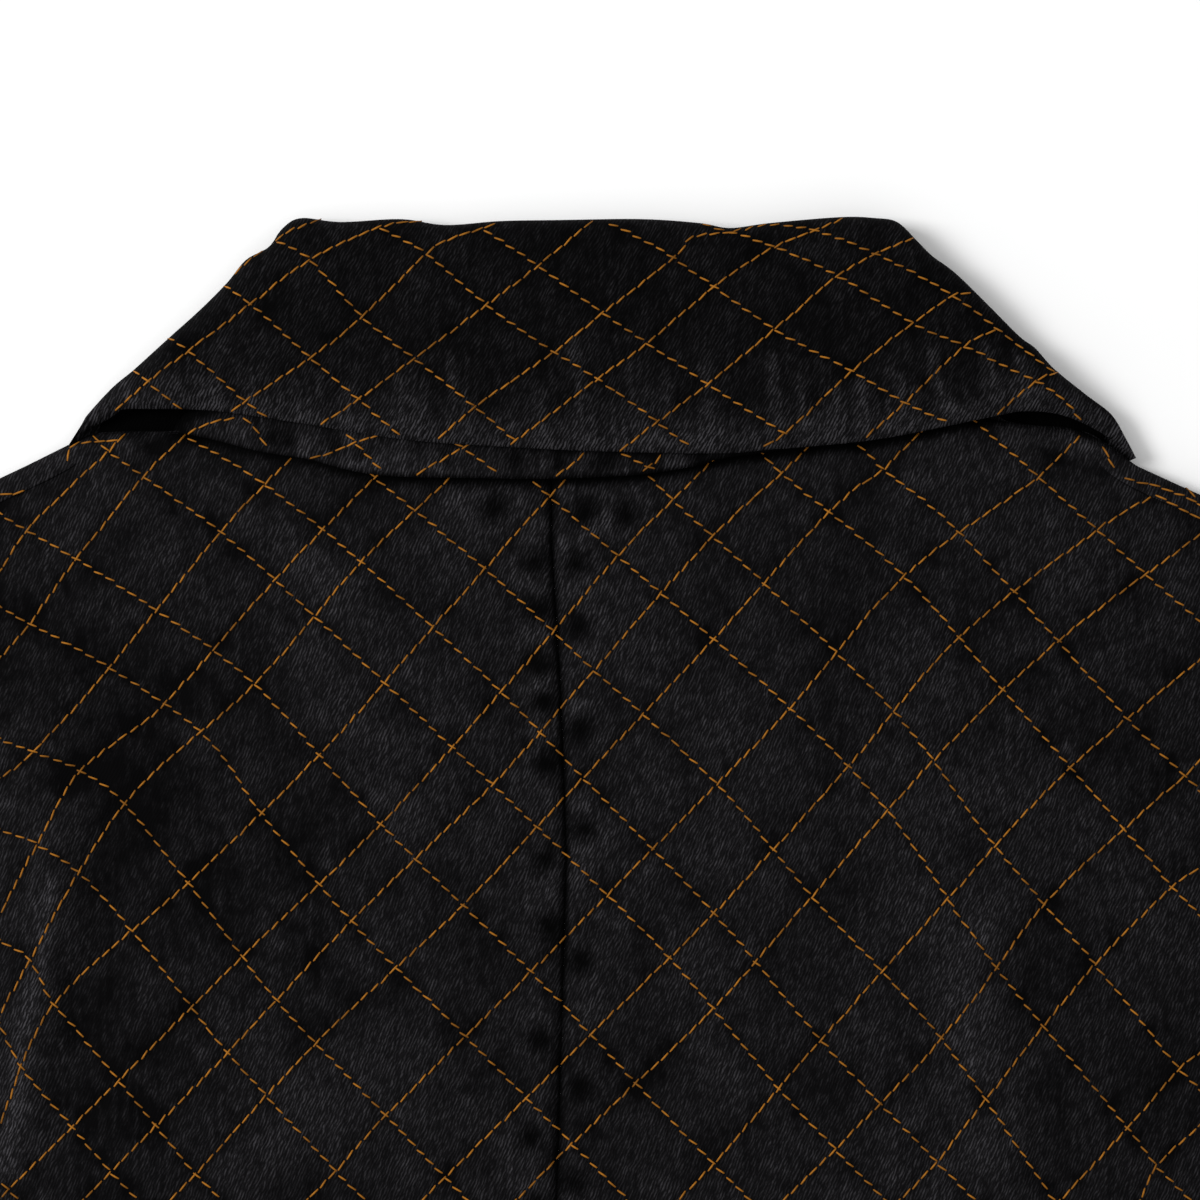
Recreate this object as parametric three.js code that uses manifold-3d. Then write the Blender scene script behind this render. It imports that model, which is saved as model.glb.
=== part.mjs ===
// Blazer in quilted denim, laid flat with its back up. Millimetres, +Z up, +Y towards the collar.
// Every panel is a wall of cloth: an outer face that carries the quilting and a plain inner face.

import * as THREE from 'three';
import Module from 'manifold-3d';

const wasm = await Module();
wasm.setup();

// Sizes of the cut
const backLength = 720;
const chestWidth = 540;
const waistWidth = 502;
const hemWidth = 534;
const shoulderWidth = 460;
const acrossBack = 414;
const neckWidth = 176;
const neckY = 66;
const collarTop = 102;
const shoulderDrop = 64;
const armholeDepth = 227;
const sleeveLength = 620;
const cuffWidth = 140;
const sleeveSpread = THREE.MathUtils.degToRad(20);
const frontOpening = 2;
const breakY = -255;

// Cloth, seams and quilting
const clothWall = 2;
const collarWall = 1.6;
const seamGap = 0.3;
const quiltSquare = 22.6;
const quiltLoft = 1;
const collarQuiltTall = 23.2;

// How the layers lie
const airInside = 3;
const airAtNeck = 0.6;
const edgeDepth = 8;
const shoulderEdge = 4;
const shoulderBand = 6;
const collarEdge = 5;
const collarRoll = 6.4;
const lapelEdge = 2.5;
const plateau = 46;
const ramp = 30;
const mostAir = 3.6;
const neckAirFrom = -40;
const neckAirOver = 60;
const sagFrom = 12;
const sagOver = 24;

// How far neighbouring pieces of one wall lap inside the cloth
const tuck = 0.2;
const lapOver = 0.4;
const foldLap = 4;
const shoulderLap = 6;
const collarLap = { low: 3, high: 1.2 };
const beyondEdge = 12;
const pastEnd = 10;
const farOut = 30;

// Front buttons
const buttonWidth = 22;
const buttonThick = 3.4;
const buttonX = 19;
const buttonRim = 2.4;
const buttonDish = 0.9;
const buttonHoles = 2.2;
const buttonHoleRadius = 1;
const buttonSides = 16;
const buttonUp = 14;
const buttonsApart = 110;

// Cloth colour and button colour
const denimColour = '#36353a';
const buttonColour = '#1c1b1d';

// Derived places
const hemY = neckY - backLength;
const neckX = neckWidth / 2;
const shoulderX = shoulderWidth / 2;
const shoulderY = neckY - shoulderDrop;
const underarmX = chestWidth / 2;
const underarmY = shoulderY - armholeDepth;
const frontX = frontOpening / 2;
const layer = clothWall + seamGap;
const halfDiagonal = quiltSquare / Math.SQRT2;

// Centre-back seam, which drifts with the way the garment was laid
const backSeam = [
  { y: 90, x: -13 },
  { y: 14, x: -12.8 },
  { y: -25, x: -10.4 },
  { y: -68, x: -8.9 },
  { y: -160, x: -11.5 },
  { y: -400, x: -6 },
  { y: -700, x: -3 },
];

// Right half of the armhole and the side seam
const armholeRows = [
  { x: shoulderX, y: shoulderY },
  { x: acrossBack / 2 + 8, y: -52 },
  { x: acrossBack / 2, y: -110 },
  { x: acrossBack / 2 + 17, y: -178 },
  { x: underarmX, y: underarmY },
];
const sideRows = [
  { x: underarmX, y: underarmY },
  { x: waistWidth / 2 + 7, y: -320 },
  { x: waistWidth / 2, y: -405 },
  { x: waistWidth / 2 + 7, y: -520 },
  { x: hemWidth / 2, y: hemY },
];

// Outline of the turned-down collar, from the left shoulder over the top to the right one
const collarRows = [
  { x: -138.7, y: 46.7 },
  { x: -130.4, y: 56.8 },
  { x: -115.2, y: 70.1 },
  { x: -99.7, y: 84.8 },
  { x: -90, y: 94 },
  { x: -80.5, y: 101.6 },
  { x: -60, y: collarTop },
  { x: -41.3, y: 100.8 },
  { x: 0, y: collarTop },
  { x: 31, y: 100.4 },
  { x: 60, y: collarTop },
  { x: 79.5, y: 101.1 },
  { x: 90, y: 92 },
  { x: 100, y: 82.7 },
  { x: 112.3, y: 71.4 },
  { x: 124.5, y: 59.4 },
  { x: 132, y: 53.2 },
  { x: 139.2, y: 46.4 },
];

// Lower edge of the collar's fall
const fallRows = [
  { x: -140.5, y: 42.4 },
  { x: -132.5, y: 48 },
  { x: -127.5, y: 51.2 },
  { x: -102.9, y: 50.4 },
  { x: -68.3, y: 45.3 },
  { x: -27.5, y: 40.8 },
  { x: 30.7, y: 38.9 },
  { x: 55.2, y: 40.8 },
  { x: 81.6, y: 44 },
  { x: 113.3, y: 50.4 },
  { x: 127.5, y: 48 },
  { x: 141, y: 40.5 },
];

// The roll of cloth that bunches under the fall: its crest and its height
const bunchRows = [
  { x: -108, y: 50, height: 1.2 },
  { x: -87.5, y: 45.4, height: 3.4 },
  { x: -52.8, y: 39.8, height: 4.2 },
  { x: -17.1, y: 39, height: 4.4 },
  { x: 12.3, y: 40.2, height: 4.2 },
  { x: 30.7, y: 43.4, height: 3.2 },
  { x: 50, y: 48, height: 1.2 },
];
const bunchWide = 7;
const bunchInside = 1.2;
const bunchMiddle = 0.6;
const bunchArea = { left: -160, right: 100, bottom: 20, top: 70 };

// Soft folds of the back: a ridge or a valley from one end to the other
const foldRows = [
  { x1: -150, y1: -2, x2: -92, y2: -62, height: -1.6, reach: 22 },
  { x1: -150, y1: -66, x2: -146, y2: -150, height: 0.7, reach: 18 },
  { x1: 84, y1: -60, x2: 108, y2: -152, height: 0.7, reach: 26 },
  { x1: -60, y1: -70, x2: 30, y2: -130, height: -0.7, reach: 34 },
  { x1: 60, y1: 10, x2: 146, y2: -40, height: -0.9, reach: 30 },
  { x1: -170, y1: -250, x2: -60, y2: -330, height: -1.2, reach: 34 },
  { x1: 190, y1: -240, x2: 70, y2: -350, height: -1.2, reach: 34 },
  { x1: -120, y1: -440, x2: -190, y2: -600, height: -1.1, reach: 38 },
  { x1: 60, y1: -430, x2: 150, y2: -610, height: -1.1, reach: 38 },
];

// Creases across the sleeves, by their place along the sleeve
const creaseRows = [
  { along: 0.3, height: -1.1, reach: 20, lean: 0.5 },
  { along: 0.48, height: -1.5, reach: 18, lean: -0.35 },
  { along: 0.58, height: -1.2, reach: 16, lean: 0.4 },
  { along: 0.8, height: -0.9, reach: 22, lean: -0.3 },
];

// Where the fall stands off the shoulder and leaves an opening
const openingRows = [
  { x: -118, y: 50, rise: 3.5, reach: 13 },
  { x: 120, y: 50, rise: 3.5, reach: 13 },
];

// Lapel and front end of the collar on the right half, on the underside
const rollTop = { x: 80.5, y: 101.6 };
const gorgeInner = { x: 57.8, y: 0 };
const gorgeCorner = { x: 95, y: -14 };
const collarTip = { x: 118, y: 4 };
const lapelRows = [
  { x: 126, y: -27 },
  { x: 121, y: -80 },
  { x: 90, y: -160 },
  { x: 42, y: -224 },
  { x: frontX + 2, y: breakY },
];

// Small helpers on rows and lines
const mirrored = (rows) => rows.map((row) => ({ ...row, x: -row.x }));
const smooth = (rows, count) => new THREE.SplineCurve(rows.map((row) => new THREE.Vector2(row.x, row.y)))
  .getPoints(count).map((p) => ({ x: p.x, y: p.y }));
const ease = (t) => {
  const k = Math.min(1, Math.max(0, t));
  return k * k * (3 - 2 * k);
};

// Value of one column at a place along another, read off a table
function readOff(rows, along, column, place) {
  const up = rows[0][along] < rows[rows.length - 1][along];
  const sorted = up ? rows : [...rows].reverse();
  if (place <= sorted[0][along]) return sorted[0][column];
  for (let i = 1; i < sorted.length; i += 1) {
    const a = sorted[i - 1];
    const b = sorted[i];
    if (place <= b[along]) {
      const t = (place - a[along]) / (b[along] - a[along]);
      return a[column] + (b[column] - a[column]) * t;
    }
  }
  return sorted[sorted.length - 1][column];
}

// A line moved sideways, to its left for a positive distance
function moved(line, distance) {
  return line.map((p, i) => {
    const a = line[Math.max(0, i - 1)];
    const b = line[Math.min(line.length - 1, i + 1)];
    const length = Math.hypot(b.x - a.x, b.y - a.y);
    return { ...p, x: p.x - ((b.y - a.y) / length) * distance, y: p.y + ((b.x - a.x) / length) * distance };
  });
}

// A point carried on past b, straight from a
function carriedOn(a, b, more) {
  const length = Math.hypot(b.x - a.x, b.y - a.y);
  return { ...b, x: b.x + ((b.x - a.x) / length) * more, y: b.y + ((b.y - a.y) / length) * more };
}

// A line with both ends carried on straight
function longer(line, more) {
  return [carriedOn(line[1], line[0], more), ...line, carriedOn(line.at(-2), line.at(-1), more)];
}

// Distance from a point to a straight stretch
function toStretch(x, y, x1, y1, x2, y2) {
  const dx = x2 - x1;
  const dy = y2 - y1;
  const t = Math.min(1, Math.max(0, ((x - x1) * dx + (y - y1) * dy) / (dx * dx + dy * dy)));
  return Math.hypot(x - x1 - dx * t, y - y1 - dy * t);
}

// Distance outside a closed outline, negative inside it
function outside(outline, x, y) {
  let nearest = Infinity;
  let within = false;
  outline.forEach((b, i) => {
    const a = outline[(i + outline.length - 1) % outline.length];
    nearest = Math.min(nearest, toStretch(x, y, a.x, a.y, b.x, b.y));
    if ((a.y > y) !== (b.y > y) && x < ((b.x - a.x) * (y - a.y)) / (b.y - a.y) + a.x) within = !within;
  });
  return within ? -nearest : nearest;
}

// A closed body from points and faces, with its faces turned outwards
function solid(points, faces) {
  let volume = 0;
  const [a, b, c] = [new THREE.Vector3(), new THREE.Vector3(), new THREE.Vector3()];
  faces.forEach(([i, j, k]) => {
    a.fromArray(points[i]);
    b.fromArray(points[j]);
    c.fromArray(points[k]);
    volume += a.dot(b.cross(c));
  });
  const outward = volume > 0 ? faces : faces.map(([i, j, k]) => [i, k, j]);
  return new wasm.Manifold(new wasm.Mesh({
    numProp: 3,
    vertProperties: new Float32Array(points.flat()),
    triVerts: new Uint32Array(outward.flat()),
  }));
}

// Everything inside an outline, between two heights
function prism(rows, low, high) {
  const apart = rows.filter((p, i) => {
    const q = rows[(i + 1) % rows.length];
    return Math.hypot(p.x - q.x, p.y - q.y) > 0.05;
  });
  const outline = apart.filter((p, i) => {
    const a = apart[(i + apart.length - 1) % apart.length];
    const b = apart[(i + 1) % apart.length];
    return toStretch(p.x, p.y, a.x, a.y, b.x, b.y) > 0.001;
  });
  const flat = outline.map((p) => new THREE.Vector2(p.x, p.y));
  if (THREE.ShapeUtils.area(flat) < 0) flat.reverse();
  const count = flat.length;
  const points = [low, high].flatMap((z) => flat.map((p) => [p.x, p.y, z]));
  const faces = THREE.ShapeUtils.triangulateShape(flat, [])
    .flatMap(([i, j, k]) => [[i, k, j], [i + count, j + count, k + count]]);
  flat.forEach((p, i) => {
    const next = (i + 1) % count;
    faces.push([i, next, next + count], [i, next + count, i + count]);
  });
  return solid(points, faces);
}

// Everything under a height over a grid whose crossings lie on the quilting's lines
const bodyGrid = { x: -15, y: 27.7, stepX: halfDiagonal, stepY: halfDiagonal };
const plainGrid = { x: 0, y: 27.7, stepX: 32, stepY: 32 };
const collarGrid = { x: 0.8, y: 75.2, stepX: halfDiagonal, stepY: collarQuiltTall / 2 };
const deep = -20;
const tall = 60;
function under(height, grid, area) {
  const i1 = Math.floor((area.left - grid.x) / grid.stepX);
  const i2 = Math.ceil((area.right - grid.x) / grid.stepX);
  const j1 = Math.floor((area.bottom - grid.y) / grid.stepY);
  const j2 = Math.ceil((area.top - grid.y) / grid.stepY);
  const wide = i2 - i1 + 1;
  const points = [];
  const faces = [];
  const at = (i, j, base) => base * wide * (j2 - j1 + 1) + (j - j1) * wide + (i - i1);
  [false, true].forEach((base) => {
    for (let j = j1; j <= j2; j += 1) {
      for (let i = i1; i <= i2; i += 1) {
        const x = grid.x + i * grid.stepX;
        const y = grid.y + j * grid.stepY;
        const crossing = (i + j) % 2 === 0;
        points.push([x, y, base ? deep : height(x, y, crossing)]);
      }
    }
  });
  const quad = (a, b, c, d) => faces.push([a, b, c], [a, c, d]);
  for (let j = j1; j < j2; j += 1) {
    for (let i = i1; i < i2; i += 1) {
      const corners = [at(i, j, 0), at(i + 1, j, 0), at(i + 1, j + 1, 0), at(i, j + 1, 0)];
      const start = (i + j) % 2 === 0 ? 0 : 1;
      const [a, b, c, d] = [0, 1, 2, 3].map((k) => corners[(k + start) % 4]);
      quad(a, b, c, d);
      quad(at(i, j + 1, 1), at(i + 1, j + 1, 1), at(i + 1, j, 1), at(i, j, 1));
    }
  }
  for (let i = i1; i < i2; i += 1) {
    quad(at(i, j1, 1), at(i + 1, j1, 1), at(i + 1, j1, 0), at(i, j1, 0));
    quad(at(i + 1, j2, 1), at(i, j2, 1), at(i, j2, 0), at(i + 1, j2, 0));
  }
  for (let j = j1; j < j2; j += 1) {
    quad(at(i1, j + 1, 1), at(i1, j, 1), at(i1, j, 0), at(i1, j + 1, 0));
    quad(at(i2, j, 1), at(i2, j + 1, 1), at(i2, j + 1, 0), at(i2, j, 0));
  }
  return solid(points, faces);
}

// Height of a face at any point, as its grid makes it
function onGrid(height, grid, x, y) {
  const i = Math.floor((x - grid.x) / grid.stepX);
  const j = Math.floor((y - grid.y) / grid.stepY);
  const u = (x - grid.x) / grid.stepX - i;
  const v = (y - grid.y) / grid.stepY - j;
  const at = (a, b) => {
    const crossing = (i + j + a + b) % 2 === 0;
    return height(grid.x + (i + a) * grid.stepX, grid.y + (j + b) * grid.stepY, crossing);
  };
  const [z00, z10, z01, z11] = [at(0, 0), at(1, 0), at(0, 1), at(1, 1)];
  if ((i + j) % 2 === 0) {
    return v <= u ? z00 + (z10 - z00) * u + (z11 - z10) * v : z00 + (z11 - z01) * u + (z01 - z00) * v;
  }
  return u + v <= 1
    ? z00 + (z10 - z00) * u + (z01 - z00) * v
    : z11 + (z01 - z11) * (1 - u) + (z10 - z11) * (1 - v);
}

// The band along an edge, from well outside it to just short of a depth inside it, on the right of the line
function band(line, depth) {
  const long = longer(line, beyondEdge);
  return prism([...moved(long, beyondEdge), ...moved(long, lapOver - depth).reverse()], deep, tall);
}

// A wall of cloth between two heights, cut to an outline; each face has its own grid
function panel(outline, inner, outer, innerGrid, outerGrid) {
  const xs = outline.map((p) => p.x);
  const ys = outline.map((p) => p.y);
  const area = {
    left: Math.min(...xs) - 1,
    right: Math.max(...xs) + 1,
    bottom: Math.min(...ys) - 1,
    top: Math.max(...ys) + 1,
  };
  return under(outer, outerGrid, area).subtract(under(inner, innerGrid, area)).intersect(prism(outline, deep, tall));
}

// A curved wall along an edge. Each station has its place, the height of its centre and its half height;
// inward is the side that the cloth lies on, 1 for the left of the line and -1 for the right. The wall
// stays a tuck inside the faces of the panel that it joins.
function edgeWall(line, { depth, wall, inward, from, steps, legs }) {
  const quarter = Math.PI / 2;
  const section = (p, nx, ny) => {
    const ring = [[], []];
    const put = (side, back, z) => ring[side].push([p.x + nx * back, p.y + ny * back, z]);
    const outer = p.half - tuck;
    const inner = p.half - wall + tuck;
    if (from < 0) {
      put(0, depth + legs.low, p.mid - outer);
      put(1, depth + legs.low, p.mid - inner);
    }
    for (let k = 0; k <= steps; k += 1) {
      const angle = from * quarter + ((1 - from) * quarter * k) / steps;
      put(0, depth - depth * Math.cos(angle), p.mid + outer * Math.sin(angle));
      put(1, depth - (depth - wall) * Math.cos(angle), p.mid + inner * Math.sin(angle));
    }
    put(0, depth + legs.high, p.mid + outer);
    put(1, depth + legs.high, p.mid + inner);
    return [...ring[0], ...ring[1].reverse()];
  };
  const sections = line.map((p, i) => {
    const a = line[Math.max(0, i - 1)];
    const b = line[Math.min(line.length - 1, i + 1)];
    const length = Math.hypot(b.x - a.x, b.y - a.y);
    return section(p, (-(b.y - a.y) / length) * inward, ((b.x - a.x) / length) * inward);
  });
  const around = sections[0].length;
  const points = sections.flat();
  const faces = [];
  for (let s = 0; s + 1 < sections.length; s += 1) {
    for (let k = 0; k < around; k += 1) {
      const next = (k + 1) % around;
      const a = s * around + k;
      const b = s * around + next;
      faces.push([a, b, b + around], [a, b + around, a + around]);
    }
  }
  const last = (sections.length - 1) * around;
  for (let k = 0; k + 1 < around / 2; k += 1) {
    const far = around - 1 - k;
    faces.push([k, far, far - 1], [k, far - 1, k + 1]);
    faces.push([last + k, last + far - 1, last + far], [last + k, last + k + 1, last + far - 1]);
  }
  return solid(points, faces);
}

// Lines of the cut, right half
const armhole = smooth(armholeRows, 12);
const side = smooth(sideRows, 8);
const lapelCurve = smooth(lapelRows, 9);
const shoulderStations = [neckX, 112, 136, 160, 195, shoulderX];
const shoulderLine = shoulderStations
  .map((x) => ({ x, y: neckY - ((x - neckX) * shoulderDrop) / (shoulderX - neckX) }));
const lapelOutline = [gorgeInner, gorgeCorner, ...lapelCurve];
const collarEndOutline = [rollTop, gorgeInner, gorgeCorner, collarTip, collarRows.at(-1), collarRows.at(-4)];

// Heights of the lowest layer: it rides over the lapels, the collar's ends and the buttons
const buttonRows = [
  { node: 'button_upper', x: buttonX, y: breakY - buttonUp },
  { node: 'button_lower', x: buttonX, y: breakY - buttonUp - buttonsApart },
];
function frontInner(x, y) {
  const near = Math.min(outside(lapelOutline, Math.abs(x), y), outside(collarEndOutline, Math.abs(x), y));
  const overLapel = layer * (1 - ease((near - plateau) / ramp));
  const overButtons = buttonRows.map((row) => {
    const far = Math.hypot(x - row.x, y - row.y) - buttonWidth / 2 - plateau;
    return (buttonThick + seamGap) * (1 - ease(far / ramp));
  });
  return Math.max(overLapel, ...overButtons);
}

// Place of the roll line across the garment, and how far inside the open neck a point is
const rollX = (y) => ((rollTop.x - frontX) * (y - breakY)) / (rollTop.y - breakY) + frontX;
const insideNeck = (x, y) => (y > breakY ? rollX(y) - Math.abs(x) : -1);

// Heights of the back's plain inner face
function backInner(x, y) {
  let lift = airInside + (airAtNeck - airInside) * ease((y - neckAirFrom) / neckAirOver);
  foldRows.forEach((row) => {
    const away = toStretch(x, y, row.x1, row.y1, row.x2, row.y2) / row.reach;
    lift += row.height * Math.exp(-away * away);
  });
  const sag = 1 - ease((insideNeck(x, y) - sagFrom) / sagOver);
  return frontInner(x, y) + layer + Math.max(seamGap, Math.min(lift, mostAir)) * sag;
}
const backOuter = (x, y, crossing) => backInner(x, y) + clothWall + (crossing ? 0 : quiltLoft);

// The bunched roll under the fall, as a swept tube that is joined into the back
function bunch(inset) {
  const line = smooth(bunchRows, 10);
  const last = line.length - 1;
  const ends = [carriedOn(line[1], line[0], -inset), carriedOn(line[last - 1], line[last], -inset)];
  [line[0], line[last]] = ends;
  const around = 8;
  const tubes = line.map((p, i) => {
    const height = readOff(bunchRows, 'x', 'height', p.x);
    const a = line[Math.max(0, i - 1)];
    const b = line[Math.min(line.length - 1, i + 1)];
    const length = Math.hypot(b.x - a.x, b.y - a.y);
    const base = backInner(p.x, p.y) + clothWall / 2;
    return Array.from({ length: around }, (_, k) => {
      const angle = (2 * Math.PI * k) / around;
      const across = (bunchWide - inset) * Math.cos(angle);
      const up = (height + clothWall / 2 - inset) * Math.sin(angle);
      return [p.x - ((b.y - a.y) / length) * across, p.y + ((b.x - a.x) / length) * across, base + up];
    });
  });
  const points = tubes.flat();
  const faces = [];
  for (let s = 0; s + 1 < tubes.length; s += 1) {
    for (let k = 0; k < around; k += 1) {
      const next = (k + 1) % around;
      const a = s * around + k;
      const b = s * around + next;
      faces.push([a, b, b + around], [a, b + around, a + around]);
    }
  }
  const cap = last * around;
  for (let k = 1; k + 1 < around; k += 1) {
    faces.push([0, k + 1, k], [cap, cap + k, cap + k + 1]);
  }
  return solid(points, faces);
}

// Back: one cloth with its two rounded sides, cut in two at the centre seam
const armholeBody = moved(armhole, -seamGap / 2);
const bodyHalf = [...shoulderLine.slice(0, -1), ...armholeBody, ...side.slice(1)];
const bodyOutline = [...bodyHalf, ...mirrored(bodyHalf).reverse()];
const ownRegion = [
  { x: 0, y: collarTop + farOut },
  { x: armholeBody[0].x, y: collarTop + farOut },
  ...armholeBody,
  carriedOn(armholeBody.at(-2), armholeBody.at(-1), farOut),
  { x: underarmX + farOut, y: hemY },
  { x: 0, y: hemY },
];

function sewnEdge(line, inward, innerHeight) {
  const long = longer(line, pastEnd);
  const inside = moved(long, inward * edgeDepth);
  const stations = long.map((p, i) => {
    const inner = onGrid(innerHeight, plainGrid, inside[i].x, inside[i].y);
    return { ...p, mid: layer, half: inner + clothWall - layer };
  });
  const legs = { high: foldLap };
  return edgeWall(stations, { depth: edgeDepth, wall: clothWall, inward, from: 0, steps: 2, legs });
}

function backWhole() {
  const ring = bunch(0).subtract(bunch(bunchInside)).subtract(under(backInner, plainGrid, bunchArea));
  let cloth = panel(bodyOutline, backInner, backOuter, plainGrid, bodyGrid).subtract(bunch(bunchMiddle)).add(ring);
  const insetShoulder = shoulderBand + seamGap + lapOver;
  [shoulderLine, mirrored(shoulderLine).reverse()].forEach((line) => {
    cloth = cloth.subtract(band(line, insetShoulder));
  });
  [side, mirrored(side).reverse()].forEach((line) => {
    cloth = cloth.subtract(band(line, edgeDepth));
  });
  return cloth
    .add(sewnEdge(side, -1, backInner))
    .add(sewnEdge(mirrored(side), 1, backInner))
    .intersect(prism([...ownRegion, ...mirrored(ownRegion).reverse()], deep, tall));
}

// Half of the plane on one side of the centre-back seam
function beside(seamSide) {
  const line = backSeam.map((p) => ({ x: p.x + (seamSide * seamGap) / 2, y: p.y }));
  const far = seamSide * chestWidth;
  return prism([...line, { x: far, y: line.at(-1).y }, { x: far, y: line[0].y }], deep, tall);
}

// Rounded corner of the front at the hem
const hemCurve = [{ x: 70, y: hemY }, { x: 26, y: hemY + 14 }, { x: frontX, y: hemY + 60 }];

// Front on one side: its panel, its lapel, the fold between them and the fold over the shoulder
function front(hand) {
  const turn = (rows) => (hand > 0 ? rows : mirrored(rows));
  const rightOf = (rows) => (hand > 0 ? rows : mirrored(rows).reverse());
  const middleY = (gorgeInner.y + breakY) / 2;
  const rollFrom = (y) => [{ x: rollX(y), y }, { x: rollX(middleY), y: middleY }, { x: frontX, y: breakY }];
  const rollLine = rollFrom(gorgeInner.y - 1.5);
  const rollInner = moved(rollLine, lapelEdge);
  const panelOutline = turn([
    ...bodyHalf,
    ...hemCurve,
    ...rollFrom(gorgeInner.y).reverse(),
    { x: gorgeInner.x + foldLap, y: gorgeInner.y + 1 },
  ]);
  const cloth = panel(panelOutline, frontInner, (x, y) => frontInner(x, y) + clothWall, plainGrid, plainGrid)
    .subtract(band(rightOf(shoulderLine), shoulderEdge))
    .subtract(band(rightOf([...rollFrom(gorgeInner.y + 2)].reverse()), lapelEdge));
  const lapel = prism(turn([
    rollInner[0],
    { x: gorgeCorner.x, y: gorgeCorner.y - seamGap },
    ...lapelCurve.slice(0, -1),
    rollInner.at(-1),
    rollInner[1],
  ]), 0, clothWall);
  const rollHeight = (layer + clothWall) / 2;
  const fold = edgeWall(
    turn(rollLine).map((p) => ({ ...p, mid: rollHeight, half: rollHeight })),
    {
      depth: lapelEdge,
      wall: clothWall,
      inward: hand,
      from: -1,
      steps: 3,
      legs: { low: foldLap, high: foldLap },
    },
  );
  const within = turn(moved(shoulderLine, -shoulderEdge));
  const over = turn(shoulderLine).map((p, i) => {
    const low = onGrid(frontInner, plainGrid, within[i].x, within[i].y);
    const high = onGrid(backInner, plainGrid, within[i].x, within[i].y) + clothWall;
    return { ...p, mid: (low + high) / 2, half: (high - low) / 2 };
  });
  const shoulder = edgeWall(over, {
    depth: shoulderEdge,
    wall: clothWall,
    inward: -hand,
    from: -1,
    steps: 4,
    legs: { low: shoulderLap, high: shoulderBand - shoulderEdge },
  });
  return cloth.add(lapel).add(fold).add(shoulder).intersect(prism(turn(ownRegion), deep, tall));
}

// Sleeve lines on the right: out from the shoulder along the arm, and back up to the underarm
const armX = Math.sin(sleeveSpread);
const armY = -Math.cos(sleeveSpread);
const cuffOuter = { x: shoulderX + armX * sleeveLength, y: shoulderY + armY * sleeveLength };
const cuffInner = { x: cuffOuter.x + armY * cuffWidth, y: cuffOuter.y - armX * cuffWidth };
const outerRows = [
  { x: shoulderX, y: shoulderY, out: 0 },
  { along: 0.08, out: 16 },
  { along: 0.25, out: 30 },
  { along: 0.5, out: 34 },
  { along: 0.75, out: 20 },
  { along: 1, out: 0 },
].map(({ along = 0, out }) => ({
  x: shoulderX + armX * sleeveLength * along - armY * out,
  y: shoulderY + armY * sleeveLength * along + armX * out,
}));
const innerRows = [
  { along: 0, out: 0 },
  { along: 0.35, out: 9 },
  { along: 0.7, out: 7 },
  { along: 1, out: 0 },
].map(({ along, out }) => ({
  x: underarmX + (cuffInner.x - underarmX) * along + out,
  y: underarmY + (cuffInner.y - underarmY) * along,
}));
const outerLine = smooth(outerRows, 10);
const innerLine = smooth(innerRows, 7);
const armholeSleeve = moved(armhole, seamGap / 2);

function sleeveInner(x, y) {
  let lift = airInside;
  const along = ((Math.abs(x) - shoulderX) * armX + (y - shoulderY) * armY) / sleeveLength;
  const across = (Math.abs(x) - shoulderX) * armY - (y - shoulderY) * armX;
  creaseRows.forEach((row) => {
    const away = ((along - row.along) * sleeveLength + across * row.lean * Math.sign(x)) / row.reach;
    lift += row.height * Math.exp(-away * away);
  });
  return layer + lift;
}
const sleeveOuter = (x, y, crossing) => sleeveInner(x, y) + clothWall + (crossing ? 0 : quiltLoft);

const sleeveOutline = [
  ...outerLine.slice(1),
  ...innerLine.slice(1).reverse(),
  ...[...armholeSleeve].reverse(),
];

const sleeveRegion = [
  ...[...armholeSleeve].reverse(),
  carriedOn(armholeSleeve[1], armholeSleeve[0], farOut),
  ...moved(outerLine, pastEnd).slice(1, -1),
  carriedOn(cuffInner, cuffOuter, pastEnd),
  carriedOn(cuffOuter, cuffInner, pastEnd),
  ...moved(innerLine, -4).slice(0, -1).reverse(),
];

function topSleeve(hand) {
  const turn = (rows) => (hand > 0 ? rows : mirrored(rows));
  const rightOf = (rows) => (hand > 0 ? rows : mirrored(rows).reverse());
  return panel(turn(sleeveOutline), sleeveInner, sleeveOuter, plainGrid, bodyGrid)
    .subtract(band(rightOf(outerLine), edgeDepth))
    .subtract(band(rightOf([...innerLine].reverse()), edgeDepth))
    .add(sewnEdge(turn(outerLine), -hand, sleeveInner))
    .add(sewnEdge(turn(innerLine), hand, sleeveInner))
    .intersect(prism(turn(sleeveRegion), deep, tall));
}

function underSleeve(hand) {
  return prism(hand > 0 ? sleeveOutline : mirrored(sleeveOutline), 0, clothWall);
}

// Collar: how high its fall lies, from the highest cloth under and near each point
const bunchStart = bunchRows[0].x - 4;
const bunchEnd = bunchRows.at(-1).x + 6;
const reachX = 8;
const reachY = 6;
function cover(x, y) {
  if (y > neckY + 2 * reachY) return 0;
  const crest = readOff(bunchRows, 'x', 'y', x);
  const height = x < bunchStart || x > bunchEnd ? 0 : readOff(bunchRows, 'x', 'height', x);
  const near = Math.abs(y - crest) < bunchWide + 9 ? height : 0;
  return backInner(x, Math.min(y, neckY)) + clothWall + Math.max(near, quiltLoft);
}
function fallInner(x, y) {
  let level = collarRoll;
  for (let dx = -2; dx <= 2; dx += 1) {
    for (let dy = -2; dy <= 2; dy += 1) {
      level = Math.max(level, cover(x + dx * reachX, y + dy * reachY) + seamGap);
    }
  }
  openingRows.forEach((row) => {
    const away = Math.hypot(x - row.x, y - row.y) / row.reach;
    level += row.rise * Math.exp(-away * away);
  });
  return level;
}
const collarLayer = collarWall + seamGap;
const upperInner = (x, y) => fallInner(x, y) + collarLayer;

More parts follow.
